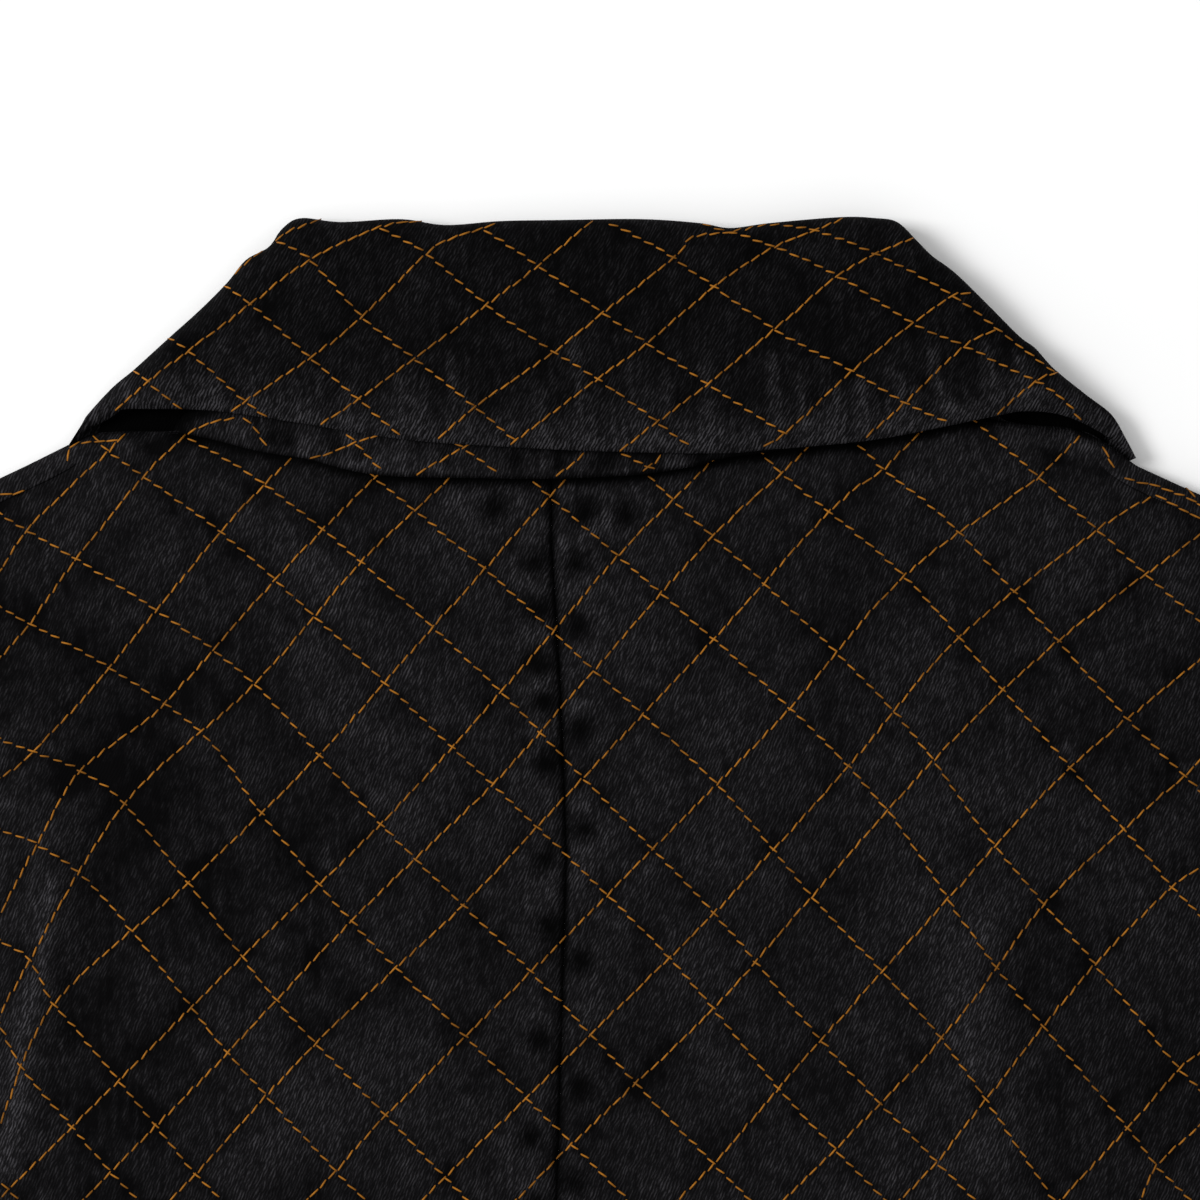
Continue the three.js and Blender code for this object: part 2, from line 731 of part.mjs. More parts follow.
// Collar's outline with the height of its rounded edge
function collarEdgeLine(inset, low, topLift) {
  const inside = moved(collarRows, -collarEdge);
  return moved(collarRows, -inset).map((p, i) => {
    const high = onGrid(fallInner, collarGrid, inside[i].x, inside[i].y) + topLift;
    return { ...p, mid: (low + high) / 2, half: (high - low) / 2 };
  });
}

const fallOutline = [...collarRows, ...[...fallRows].reverse()];
const aroundCollar = moved(collarRows, 4);
const fallRegion = [...aroundCollar, ...[...fallRows].reverse()];
const underneath = [
  { x: collarRows.at(-1).x, y: 30 },
  collarTip,
  { x: gorgeCorner.x, y: gorgeCorner.y + seamGap },
  { x: gorgeInner.x + 1, y: gorgeInner.y + seamGap },
  { x: rollX(neckY) + 1, y: neckY - 8 },
  { x: rollX(neckY) + 1, y: neckY + seamGap },
];
const standOutline = [...collarRows, ...underneath, ...mirrored(underneath).reverse()];
const standRegion = [...aroundCollar, ...underneath, ...mirrored(underneath).reverse()];
const halfUp = collarRoll / 2;

// Upper collar: its fall, its rounded edge, and the lowest layer with the stand and the front ends
function upperCollar() {
  const fall = panel(
    fallOutline,
    upperInner,
    (x, y, crossing) => upperInner(x, y) + collarWall + (crossing ? 0 : quiltLoft),
    collarGrid,
    collarGrid,
  ).subtract(band(collarRows, collarEdge));
  const edge = edgeWall(collarEdgeLine(0, 0, collarLayer + collarWall), {
    depth: collarEdge, wall: collarWall, inward: -1, from: -1, steps: 4, legs: collarLap,
  });
  const stand = prism(standOutline, 0, collarWall).subtract(band(collarRows, collarEdge));
  return fall
    .add(edge.intersect(prism(fallRegion, halfUp, tall)))
    .add(edge.intersect(prism(standRegion, deep, halfUp + seamGap)))
    .add(stand);
}

// Under collar, nested in the upper one and ending short of its tips
const underCollarEnd = 124;
function underCollar() {
  const inset = collarLayer;
  const clear = 2 * lapOver;
  const neckLine = [
    { x: shoulderLine[2].x, y: shoulderLine[2].y + clear },
    { x: neckX, y: neckY + clear },
    { x: -neckX, y: neckY + clear },
    { x: -shoulderLine[2].x, y: shoulderLine[2].y + clear },
  ];
  const short = (rows) => rows.filter((p) => Math.abs(p.x) < underCollarEnd + 4);
  const innerStand = [...short(collarRows), ...neckLine];
  const innerRegion = [...short(aroundCollar), ...neckLine];
  const fall = panel(fallOutline, fallInner, (x, y) => fallInner(x, y) + collarWall, collarGrid, collarGrid)
    .subtract(band(collarRows, collarEdge));
  const edge = edgeWall(collarEdgeLine(inset, collarLayer, collarWall), {
    depth: collarEdge - inset, wall: collarWall, inward: -1, from: -1, steps: 3, legs: collarLap,
  });
  const stand = prism(innerStand, collarLayer, collarLayer + collarWall).subtract(band(collarRows, collarEdge));
  const half = [{ x: underCollarEnd, y: 0 }, { x: underCollarEnd, y: collarTop + farOut }];
  const clearOfShoulder = prism([...half, ...mirrored(half).reverse()], deep, tall);
  return fall.intersect(clearOfShoulder)
    .add(edge.intersect(prism(fallRegion, halfUp, tall)).intersect(clearOfShoulder))
    .add(edge.intersect(prism(innerRegion, deep, halfUp + seamGap)))
    .add(stand);
}

// Button: a disc with a rim and four holes
function button(row) {
  const round = (radius, sides, low, high, x, y) => prism(
    Array.from({ length: sides }, (_, k) => {
      const angle = (2 * Math.PI * k) / sides;
      return { x: x + radius * Math.cos(angle), y: y + radius * Math.sin(angle) };
    }),
    low,
    high,
  );
  const hollow = round(buttonWidth / 2 - buttonRim, buttonSides, deep, buttonDish, row.x, row.y);
  let disc = round(buttonWidth / 2, buttonSides, 0, buttonThick, row.x, row.y).subtract(hollow);
  [[-1, -1], [1, -1], [1, 1], [-1, 1]].forEach(([i, j]) => {
    const [x, y] = [row.x + i * buttonHoles, row.y + j * buttonHoles];
    const hole = round(buttonHoleRadius, buttonSides / 2, deep, tall, x, y);
    disc = disc.subtract(hole);
  });
  return disc;
}

// The part, with its origin under the middle of its own extents
const originY = (collarTop + hemY) / 2;
const group = new THREE.Group();
group.name = 'blazer';
function add(name, body, colour, roughness) {
  const { vertProperties, triVerts } = body.getMesh();
  const geometry = new THREE.BufferGeometry();
  geometry.setAttribute('position', new THREE.BufferAttribute(new Float32Array(vertProperties), 3));
  geometry.setIndex(new THREE.BufferAttribute(new Uint32Array(triVerts), 1));
  geometry.translate(0, -originY, 0);
  geometry.computeVertexNormals();
  const mesh = new THREE.Mesh(geometry, new THREE.MeshStandardMaterial({ color: colour, roughness, metalness: 0 }));
  mesh.name = name;
  group.add(mesh);
}

const back = backWhole();
add('back_left', back.intersect(beside(-1)), denimColour, 0.92);
add('back_right', back.intersect(beside(1)), denimColour, 0.92);
add('front_left', front(-1), denimColour, 0.92);
add('front_right', front(1), denimColour, 0.92);
add('upper_collar', upperCollar(), denimColour, 0.92);
add('under_collar', underCollar(), denimColour, 0.92);
add('top_sleeve_left', topSleeve(-1), denimColour, 0.92);
add('under_sleeve_left', underSleeve(-1), denimColour, 0.92);
add('top_sleeve_right', topSleeve(1), denimColour, 0.92);
add('under_sleeve_right', underSleeve(1), denimColour, 0.92);
buttonRows.forEach((row) => add(row.node, button(row), buttonColour, 0.45));

export default group;
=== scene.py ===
import math

import bpy
import numpy as np
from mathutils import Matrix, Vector
from mathutils.bvhtree import BVHTree


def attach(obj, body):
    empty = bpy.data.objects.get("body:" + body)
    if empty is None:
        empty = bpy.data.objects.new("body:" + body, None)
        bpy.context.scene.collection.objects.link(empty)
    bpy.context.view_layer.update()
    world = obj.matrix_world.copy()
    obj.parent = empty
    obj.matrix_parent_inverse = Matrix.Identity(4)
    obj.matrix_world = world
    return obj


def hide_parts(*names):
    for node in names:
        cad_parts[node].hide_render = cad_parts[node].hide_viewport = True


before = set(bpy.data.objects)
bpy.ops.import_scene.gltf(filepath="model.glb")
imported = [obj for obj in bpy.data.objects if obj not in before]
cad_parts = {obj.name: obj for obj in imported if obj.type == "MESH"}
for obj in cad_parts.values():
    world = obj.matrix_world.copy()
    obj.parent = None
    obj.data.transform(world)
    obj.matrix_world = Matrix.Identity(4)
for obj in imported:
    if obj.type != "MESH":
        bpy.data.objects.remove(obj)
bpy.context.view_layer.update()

# Everything below is in millimetres round the middle of the view, and becomes metres when a mesh is made
laid = {
    "middleY": 276.0,       # from the part's own origin up to the middle of the view
    "pixel": 1 / 3.75,      # one pixel of the photograph
    "middlePixel": 600,
    "cloth": 2.0,           # how far the cloth's top lies over the hidden side of its solid
    "hemY": -654.0,
    "neckX": 88,
    "neckY": 66.0,
    "square": 32.0,         # from crossing to crossing of the quilting, straight across
    "diamondTall": 23.2,    # the same on the collar, straight up
    "sleeveTurn": math.radians(20),
    "shoulderTip": (230, 2),
    "underarm": (270, -225),
}
sideName = {-1: "left", 1: "right"}
tipX, tipY = laid["shoulderTip"]
underarmX, underarmY = laid["underarm"]


def fromPixels(points):
    # Places read off the photograph, as millimetres round its middle
    spots = np.asarray(points, float) - laid["middlePixel"]
    return spots * laid["pixel"] * (1, -1)


def softLine(points, pieces=10):
    # A smooth line through its points
    p = np.asarray(points, float)
    p = np.vstack([2 * p[0] - p[1], p, 2 * p[-1] - p[-2]])
    t = np.linspace(0, 1, pieces, endpoint=False)[:, None]
    parts = []
    for a, b, c, d in zip(p[:-3], p[1:-2], p[2:-1], p[3:]):
        square = 2 * a - 5 * b + 4 * c - d
        cube = 3 * b - a - 3 * c + d
        parts.append(0.5 * (2 * b + (c - a) * t + square * t ** 2 + cube * t ** 3))
    return np.vstack(parts + [p[-2:-1]])


def ease(t):
    t = np.clip(t, 0, 1)
    return t * t * (3 - 2 * t)


def bell(t):
    return np.exp(-t * t)


def roundOff(gap, radius):
    # Share of the full height this far in from an edge that is rounded over
    bend = np.clip(1 - gap / radius, 0, 1)
    return np.sqrt(1 - bend ** 2)


def lineAt(line, x, **ends):
    # Height of a line above each place across
    return np.interp(x, line[:, 0], line[:, 1], **ends)


def softNoise(x, y, seed):
    # Smooth random hills one unit apart, from -1 to 1
    tile = 128
    hills = np.random.default_rng(seed).uniform(-1, 1, (tile, tile))
    i, j = np.floor(x).astype(int), np.floor(y).astype(int)
    u, v = ease(x - i), ease(y - j)

    def corner(a, b):
        return hills[(i + a) % tile, (j + b) % tile]

    low = corner(0, 0) * (1 - u) + corner(1, 0) * u
    high = corner(0, 1) * (1 - u) + corner(1, 1) * u
    return low * (1 - v) + high * v


def toLine(x, y, line):
    # Distance from every point to the nearest stretch of a line
    nearest = np.full(np.shape(x), 1e9)
    for (ax, ay), (bx, by) in zip(line[:-1], line[1:]):
        dx, dy = bx - ax, by - ay
        t = np.clip(((x - ax) * dx + (y - ay) * dy) / (dx * dx + dy * dy + 1e-12), 0, 1)
        nearest = np.minimum(nearest, np.hypot(x - ax - dx * t, y - ay - dy * t))
    return nearest


# The quilting, as it lies: each line is read off the photograph, and plain lines carry on beyond it
bodyDown = [
    [(8, 1190), (40, 1222)],
    [(0, 1023), (26, 1071), (72, 1127), (111, 1172)],
    [(0, 940), (31, 959), (55, 1003), (119, 1080), (196, 1174)],
    [(0, 829), (38, 844), (76, 870), (134, 933), (228, 1052), (336, 1171)],
    [(0, 739), (33, 752), (80, 771), (124, 804), (188, 883), (275, 998), (386, 1115), (445, 1177)],
    [(0, 608), (28, 624), (108, 668), (204, 736), (261, 814), (351, 921), (462, 1033), (572, 1144)],
    [(0, 515), (75, 559), (155, 610), (254, 684), (381, 824), (531, 972), (637, 1085), (714, 1164)],
    [(107, 451), (220, 532), (314, 616), (451, 746), (537, 827), (670, 959), (776, 1085), (835, 1149)],
    [(184, 435), (264, 484), (361, 562), (501, 692), (583, 778), (714, 913), (821, 1040), (937, 1162)],
    [(374, 477), (484, 568), (594, 670), (719, 786), (812, 896), (941, 1038), (1050, 1195)],
    [(549, 496), (661, 593), (790, 708), (890, 814), (989, 958), (1127, 1127), (1156, 1166)],
    [(673, 500), (765, 584), (898, 716), (988, 837), (1095, 964), (1179, 1069)],
    [(782, 473), (905, 576), (1001, 687), (1124, 829), (1172, 887)],
    [(884, 469), (954, 526), (1059, 641), (1129, 720), (1185, 776)],
    [(978, 423), (1040, 477), (1149, 576), (1200, 620)],
]
bodyUp = [
    [(1140, 1200), (1156, 1166), (1195, 1130)],
    [(1060, 1200), (1127, 1127), (1179, 1069), (1200, 1052)],
    [(937, 1162), (985, 1099), (1095, 964), (1172, 887), (1200, 868)],
    [(835, 1149), (941, 1038), (1044, 904), (1124, 829), (1185, 776)],
    [(714, 1164), (821, 1040), (950, 895), (1069, 769), (1200, 660)],
    [(572, 1144), (712, 1010), (812, 896), (933, 760), (1059, 641), (1200, 535)],
    [(445, 1177), (590, 1036), (714, 913), (847, 768), (957, 640), (1102, 527), (1155, 495)],
    [(336, 1171), (386, 1115), (531, 972), (653, 849), (790, 708), (905, 576), (1040, 477)],
    [(196, 1174), (318, 1041), (462, 906), (583, 778), (715, 638), (831, 510), (884, 469)],
    [(111, 1172), (228, 1052), (351, 921), (494, 783), (594, 670), (712, 537), (782, 473)],
    [(8, 1190), (119, 1080), (240, 959), (381, 824), (501, 692), (616, 558), (673, 500)],
    [(0, 1125), (55, 1003), (188, 883), (320, 754), (432, 628), (549, 496)],
    [(0, 1016), (31, 959), (124, 804), (254, 684), (361, 562), (446, 481)],
    [(0, 915), (38, 844), (80, 771), (162, 705), (277, 577), (374, 477)],
    [(0, 778), (33, 752), (108, 668), (220, 532), (264, 484)],
    [(0, 657), (28, 624), (75, 559), (143, 476), (184, 435)],
    [(0, 569), (30, 525), (107, 451), (118, 440)],
]
collarDown = [
    [(132, 369), (150, 383), (180, 408)],
    [(166, 337), (190, 352), (247, 402), (268, 418)],
    [(222, 284), (252, 305), (312, 359), (402, 437)],
    [(276, 241), (311, 261), (363, 318), (415, 360), (476, 408), (517, 443)],
    [(379, 228), (427, 255), (487, 306), (554, 353), (598, 380), (657, 423), (690, 448)],
    [(483, 230), (538, 267), (603, 314), (707, 385), (784, 434)],
    [(608, 223), (673, 259), (774, 330), (851, 372), (904, 403), (949, 424)],
    [
        (701, 223), (730, 233), (774, 248), (837, 277), (912, 324), (963, 347), (1034, 382), (1054, 394),
        (1066, 404), (1078, 417),
    ],
    [(730, 233), (764, 225), (788, 227), (816, 232), (875, 255), (952, 297), (1055, 374)],
]
collarUp = [
    [(995, 415), (1034, 382), (1055, 374), (1062, 376)],
    [(865, 438), (904, 403), (963, 347), (1000, 328)],
    [(750, 452), (784, 434), (851, 372), (912, 324), (952, 297), (977, 294)],
    [(619, 452), (657, 423), (707, 385), (774, 330), (837, 277), (875, 255), (915, 238)],
    [(510, 446), (598, 380), (646, 345), (717, 285), (774, 248), (816, 231), (845, 218)],
    [(438, 440), (476, 408), (554, 353), (603, 314), (673, 259), (692, 239), (717, 234), (730, 233)],
    [(320, 425), (359, 401), (415, 360), (487, 306), (538, 267), (592, 222)],
    [(231, 411), (247, 402), (312, 359), (363, 318), (427, 255), (449, 241), (474, 232), (502, 222)],
    [(103, 419), (150, 383), (190, 352), (252, 305), (311, 261), (379, 228), (420, 221)],
    [(166, 337), (222, 284), (276, 241), (318, 219)],
]


def lineFamily(rows, slope, apart, below, above):
    # All the lines of one direction, from the lowest up, with plain ones beyond the last
    lines = [softLine(fromPixels(row)) for row in rows]
    first, last = lines[0], lines[-1]
    under = [first - (0, apart * n) for n in range(below, 0, -1)]
    over = [last + (0, apart * n) for n in range(1, above + 1)]
    return {"read": lines, "lines": under + lines + over, "slope": slope}


def linesAt(family, x):
    # Height of every line of a family above each place across
    rows = []
    for line in family["lines"]:
        y = lineAt(line, x)
        before, after = x < line[0, 0], x > line[-1, 0]
        y = np.where(before, line[0, 1] + (x - line[0, 0]) * family["slope"], y)
        rows.append(np.where(after, line[-1, 1] + (x - line[-1, 0]) * family["slope"], y))
    return np.sort(np.array(rows), axis=0)


def fromLines(family, x, y):
    # Distance to the nearest line of a family
    flatX = np.ravel(x)
    rows = linesAt(family, flatX)
    gaps = np.abs(rows - np.ravel(y)[None, :]).min(axis=0)
    return (gaps / math.hypot(1, family["slope"])).reshape(np.shape(x))


def gapsTo(families, x, y):
    return [fromLines(family, x, y) for family in families]


bodyLines = (
    lineFamily(bodyDown, -1.0, laid["square"], 20, 4),
    lineFamily(bodyUp, 1.0, laid["square"], 21, 4),
)
collarLines = (
    lineFamily(collarDown, -0.72, laid["diamondTall"], 3, 2),
    lineFamily(collarUp, 0.72, laid["diamondTall"], 3, 2),
)

bodyQuilt = {
    "loft": 0.8,
    "reach": 2.6,
    "pucker": 0.32,
    "puckerLong": 3.75,
    "puckerWide": 20.0,
    "puckerReach": 5.0,
    "swellWide": 28.0,      # how broad the cells are that stand higher than others
    "seed": 11,
}
collarQuilt = dict(bodyQuilt, loft=0.7, reach=2.4, pucker=0.28, seed=23)
sleeveQuilt = dict(bodyQuilt, seed=31)


def quilting(x, y, gapDown, gapUp, settings):
    # Height of the padded cells over the stitch lines, and the small gathers that the thread pulls in
    puff = 1 - np.exp(-(gapDown / settings["reach"]) ** 1.5)
    puff = puff * (1 - np.exp(-(gapUp / settings["reach"]) ** 1.5))
    alongDown, alongUp = (x - y) / math.sqrt(2), (x + y) / math.sqrt(2)
    fine, wide, seed = settings["puckerLong"], settings["puckerWide"], settings["seed"]
    gathers = softNoise(alongDown / fine, alongUp / wide, seed) * np.exp(-gapDown / settings["puckerReach"])
    gathers += softNoise(alongUp / fine, alongDown / wide, seed + 1) * np.exp(-gapUp / settings["puckerReach"])
    swell = 0.8 + 0.2 * softNoise(x / settings["swellWide"], y / settings["swellWide"], seed + 2)
    return settings["loft"] * puff * swell + settings["pucker"] * gathers, puff, gathers


def solidHeights(names, upward, area, step, soften):
    # The form of the solids, felt with straight rays and smoothed, as a function of place
    left, right, bottom, top = area
    xs = np.arange(left, right + step, step)
    ys = np.arange(bottom, top + step, step)
    grid = np.full((len(ys), len(xs)), np.nan)
    rayFrom = -0.01 if upward else 0.05
    rayWay = Vector((0, 0, 1 if upward else -1))
    for name in names:
        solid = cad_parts[name]
        tree = BVHTree.FromObject(solid, bpy.context.evaluated_depsgraph_get())
        for j, y in enumerate(ys):
            for i, x in enumerate(xs):
                start = Vector((x / 1000, (y + laid["middleY"]) / 1000, rayFrom))
                hit = tree.ray_cast(start, rayWay)[0]
                if hit is not None:
                    grid[j, i] = np.fmax(grid[j, i], hit.z * 1000)
    known = ~np.isnan(grid)
    filled = np.where(known, grid, 0.0)
    weight = known.astype(float)
    rounds = max(1, round(soften / step))
    for turn in range(rounds * 2):
        for axis in (0, 1):
            filled = (np.roll(filled, 1, axis) + filled * 2 + np.roll(filled, -1, axis)) / 4
            weight = (np.roll(weight, 1, axis) + weight * 2 + np.roll(weight, -1, axis)) / 4
    mean = float(np.nanmean(grid))
    smooth = np.where(weight > 1e-6, filled / np.maximum(weight, 1e-6), mean)

    def height(x, y):
        u = np.clip((x - left) / step, 0, len(xs) - 1.001)
        v = np.clip((y - bottom) / step, 0, len(ys) - 1.001)
        i, j = u.astype(int), v.astype(int)
        u, v = u - i, v - j
        low = smooth[j, i] * (1 - u) + smooth[j, i + 1] * u
        high = smooth[j + 1, i] * (1 - u) + smooth[j + 1, i + 1] * u
        return low * (1 - v) + high * v

    return height


def makePiece(name, points, faces, material, tones=None, smooth=True):
    # A mesh object in metres from places in millimetres
    mesh = bpy.data.meshes.new(name)
    spots = np.array(points, float)
    spots[:, 1] += laid["middleY"]
    mesh.from_pydata((spots / 1000).tolist(), [], faces)
    mesh.materials.append(material)
    for tone, values in (tones or {}).items():
        layer = mesh.attributes.new(tone, "FLOAT", "POINT")
        layer.data.foreach_set("value", np.asarray(values, np.float32))
    mesh.shade_smooth() if smooth else mesh.shade_flat()
    mesh.update()
    piece = bpy.data.objects.new(name, mesh)
    bpy.context.scene.collection.objects.link(piece)
    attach(piece, "root")
    return piece


def thicken(piece, wall, side):
    # Gives a sheet its thickness, on the side that its faces point to or away from it
    layer = piece.modifiers.new("clothWall", "SOLIDIFY")
    layer.thickness = wall / 1000
    layer.offset = side


def gridPoints(x, y, z):
    return np.stack([x, y, z], axis=2).reshape(-1, 3)


def tonesOf(wear, shadeAndLessWear):
    return {"wear": wear.ravel(), "shadeAndLessWear": shadeAndLessWear.ravel()}


def gridFaces(rows, columns, flip=False):
    # Four-sided faces over rows of points, all facing up or all down
    faces = []
    for j in range(rows - 1):
        for i in range(columns - 1):
            a = j * columns + i
            face = (a, a + 1, a + columns + 1, a + columns)
            faces.append(face[::-1] if flip else face)
    return faces


def gridEdges(rows, columns):
    # Numbers of the points along each edge of a grid
    return {
        "low": list(range(columns)),
        "high": [(rows - 1) * columns + i for i in range(columns)],
        "first": [j * columns for j in range(rows)],
        "last": [j * columns + columns - 1 for j in range(rows)],
    }


def clothGrid(surface, x, y, flip=False):
    # Points, faces and tones of a cloth over rows of places, with its four edges
    z, wear, shadeAndLessWear = surface(x, y)
    faces = gridFaces(*x.shape, flip=flip)
    return gridPoints(x, y, z), faces, tonesOf(wear, shadeAndLessWear), gridEdges(*x.shape)


def gradedSteps(stops):
    # Places along a line whose spacing changes from stretch to stretch: (end, step) for each
    places = [stops[0][0]]
    for end, step in stops[1:]:
        start = places[-1]
        count = max(1, round(abs(end - start) / step))
        places += list(np.linspace(start, end, count + 1)[1:])
    return np.array(places)


print("Laid frame and quilting lines ready")

# Materials


def newGroup(name, inputs, outputs):
    group = bpy.data.node_groups.new(name, "ShaderNodeTree")
    for title, kind, value in inputs:
        socket = group.interface.new_socket(title, in_out="INPUT", socket_type=kind)
        socket.default_value = value
    for title, kind in outputs:
        group.interface.new_socket(title, in_out="OUTPUT", socket_type=kind)
    nodes = group.nodes
    return group, nodes.new("NodeGroupInput"), nodes.new("NodeGroupOutput")


def addNode(tree, kind, settings=None, links=None, **fields):
    # A node with its fields, its fixed inputs and what is plugged into it
    node = tree.nodes.new(kind)
    for field, value in fields.items():
        setattr(node, field, value)
    for key, value in (settings or {}).items():
        node.inputs[key].default_value = value
    for key, source in (links or {}).items():
        tree.links.new(source, node.inputs[key])
    return node


def mathNode(tree, operation, first, second=0.0, clamp=False):
    node = addNode(tree, "ShaderNodeMath", operation=operation, use_clamp=clamp)
    for slot, value in enumerate((first, second)):
        if isinstance(value, (int, float)):
            node.inputs[slot].default_value = value
        else:
            tree.links.new(value, node.inputs[slot])
    return node.outputs[0]


def times(tree, first, second, clamp=False):
    return mathNode(tree, "MULTIPLY", first, second, clamp)


def plus(tree, first, second):
    return mathNode(tree, "ADD", first, second)


def mixColour(tree, factor, first, second):
    node = addNode(tree, "ShaderNodeMix", data_type="RGBA")
    for slot, value in ((0, factor), (6, first), (7, second)):
        if isinstance(value, (int, float, tuple)):
            node.inputs[slot].default_value = value
        else:
            tree.links.new(value, node.inputs[slot])
    return node.outputs[2]


def newMaterial(name):
    material = bpy.data.materials.new(name)
    material.use_nodes = True
    return material, material.node_tree, material.node_tree.nodes["Principled BSDF"]


def spreadOut(tree, value, low, high):
    # A value stretched so that low becomes 0 and high becomes 1
    ends = {"From Min": low, "From Max": high}
    return addNode(tree, "ShaderNodeMapRange", ends, {"Value": value}).outputs[0]


def noiseNode(tree, place, scale, detail, roughness=0.5):
    look = {"Scale": scale, "Detail": detail, "Roughness": roughness}
    return addNode(tree, "ShaderNodeTexNoise", look, {"Vector": place}).outputs[0]


def addBump(tree, shader, height, strength, distance):
    bump = addNode(tree, "ShaderNodeBump", {"Strength": strength, "Distance": distance}, {"Height": height})
    tree.links.new(bump.outputs[0], shader.inputs["Normal"])


def scaled(colour, by):
    return tuple(value * by for value in colour[:3]) + (1,)


denimLook = {
    "twillPitch": 0.00082,
    "wobble": 2.2,          # how far the ribs wander, in ribs
    "yarnScales": (1850.0, 320.0),
    "bodyLean": math.radians(67),
    "collarLean": math.radians(62),
    "black": (0.0016, 0.0015, 0.0017, 1),
    "washed": (0.0046, 0.0043, 0.0048, 1),
    "worn": (0.050, 0.048, 0.053, 1),
    "collarDepth": 0.62,    # the collar's cloth is darker than the body's
    "collarBlotch": 0.33,
    "insideShadeDepth": 0.2,     # and what lies under it is darker still, as painted shade
    "shadeBlack": (0.0002, 0.0002, 0.0002, 1),
    "streakShare": 0.30,
    "wearShare": 0.85,
    "shadeHidesWash": 0.9,     # how much of the wash the painted shade and lesser wear take away
    "shadeDarkens": 0.75,     # how much blacker the painted shade makes the cloth
    "yarnRange": (0.44, 0.64),
    "leastWearAndLight": -0.5,
    "mostWearAndLight": 1.8,
}


def limited(wear, shadeAndLessWear):
    return np.clip(wear, denimLook["leastWearAndLight"], denimLook["mostWearAndLight"]), np.clip(shadeAndLessWear, 0, 1)


def stitchShade(down, up, share, reach):
    # Painted shade along the stitch lines of both directions
    return share * bell(np.minimum(down, up) / reach)


def makeTwill():
    # Diagonal twill ribs with uneven yarns: a mask from furrow to rib, and the yarns' own streaks
    group, inside, outside = newGroup(
        "twillWeave",
        [
            ("Pitch", "NodeSocketFloat", 0.0008),
            ("Lean", "NodeSocketFloat", 1.2),
            ("Uneven", "NodeSocketFloat", 1.0),
        ],
        [("Rib", "NodeSocketFloat"), ("Yarn", "NodeSocketFloat")],
    )
    place = addNode(group, "ShaderNodeTexCoord").outputs["Object"]
    turn = mathNode(group, "SUBTRACT", math.pi / 2, inside.outputs["Lean"])
    turned = addNode(
        group, "ShaderNodeVectorRotate", {"Axis": (0, 0, 1)}, {"Vector": place, "Angle": turn},
        rotation_type="AXIS_ANGLE",
    ).outputs[0]
    split = addNode(group, "ShaderNodeSeparateXYZ", None, {0: turned})
    across, along = split.outputs[0], split.outputs[1]
    wobble = noiseNode(group, place, 260.0, 3.0, 0.6)
    shift = mathNode(group, "SUBTRACT", wobble, 0.5)
    shift = times(group, shift, inside.outputs["Uneven"])
    count = mathNode(group, "DIVIDE", across, inside.outputs["Pitch"])
    count = plus(group, count, times(group, shift, denimLook["wobble"]))
    wave = mathNode(group, "SINE", times(group, count, 2 * math.pi))
    rib = plus(group, times(group, wave, 0.5), 0.5)
    stretch = addNode(group, "ShaderNodeCombineXYZ")
    for slot, (place, scale) in enumerate(zip((across, along), denimLook["yarnScales"])):
        group.links.new(times(group, place, scale), stretch.inputs[slot])
    yarn = noiseNode(group, stretch.outputs[0], 1.0, 3.0, 0.7)
    group.links.new(rib, outside.inputs["Rib"])
    group.links.new(yarn, outside.inputs["Yarn"])
    return group


def makeWash():
    # What washing leaves: broad blotches and short streaks along the warp, each from 0 to 1
    group, inside, outside = newGroup(
        "unevenWash",
        [("Size", "NodeSocketFloat", 60.0), ("Streaks", "NodeSocketFloat", 520.0)],
        [("Blotch", "NodeSocketFloat"), ("Streak", "NodeSocketFloat")],
    )
    place = addNode(group, "ShaderNodeTexCoord").outputs["Object"]
    largeScale = {"Detail": 4.0, "Roughness": 0.62}
    largeLinks = {"Vector": place, "Scale": inside.outputs["Size"]}
    large = addNode(group, "ShaderNodeTexNoise", largeScale, largeLinks)
    fine = noiseNode(group, place, 320.0, 4.0, 0.7)
    both = times(group, large.outputs[0], 0.62)
    both = plus(group, both, times(group, fine, 0.38))
    spread = spreadOut(group, both, 0.38, 0.64)
    warp = addNode(group, "ShaderNodeVectorMath", {1: (1.0, 0.16, 1.0)}, {0: place}, operation="MULTIPLY")
    streakScale = {"Detail": 3.0, "Roughness": 0.6}
    streakLinks = {"Vector": warp.outputs[0], "Scale": inside.outputs["Streaks"]}
    streak = addNode(group, "ShaderNodeTexNoise", streakScale, streakLinks)
    sharp = spreadOut(group, streak.outputs[0], 0.42, 0.72)
    group.links.new(spread, outside.inputs["Blotch"])
    group.links.new(sharp, outside.inputs["Streak"])
    return group


twillWeave = makeTwill()
unevenWash = makeWash()


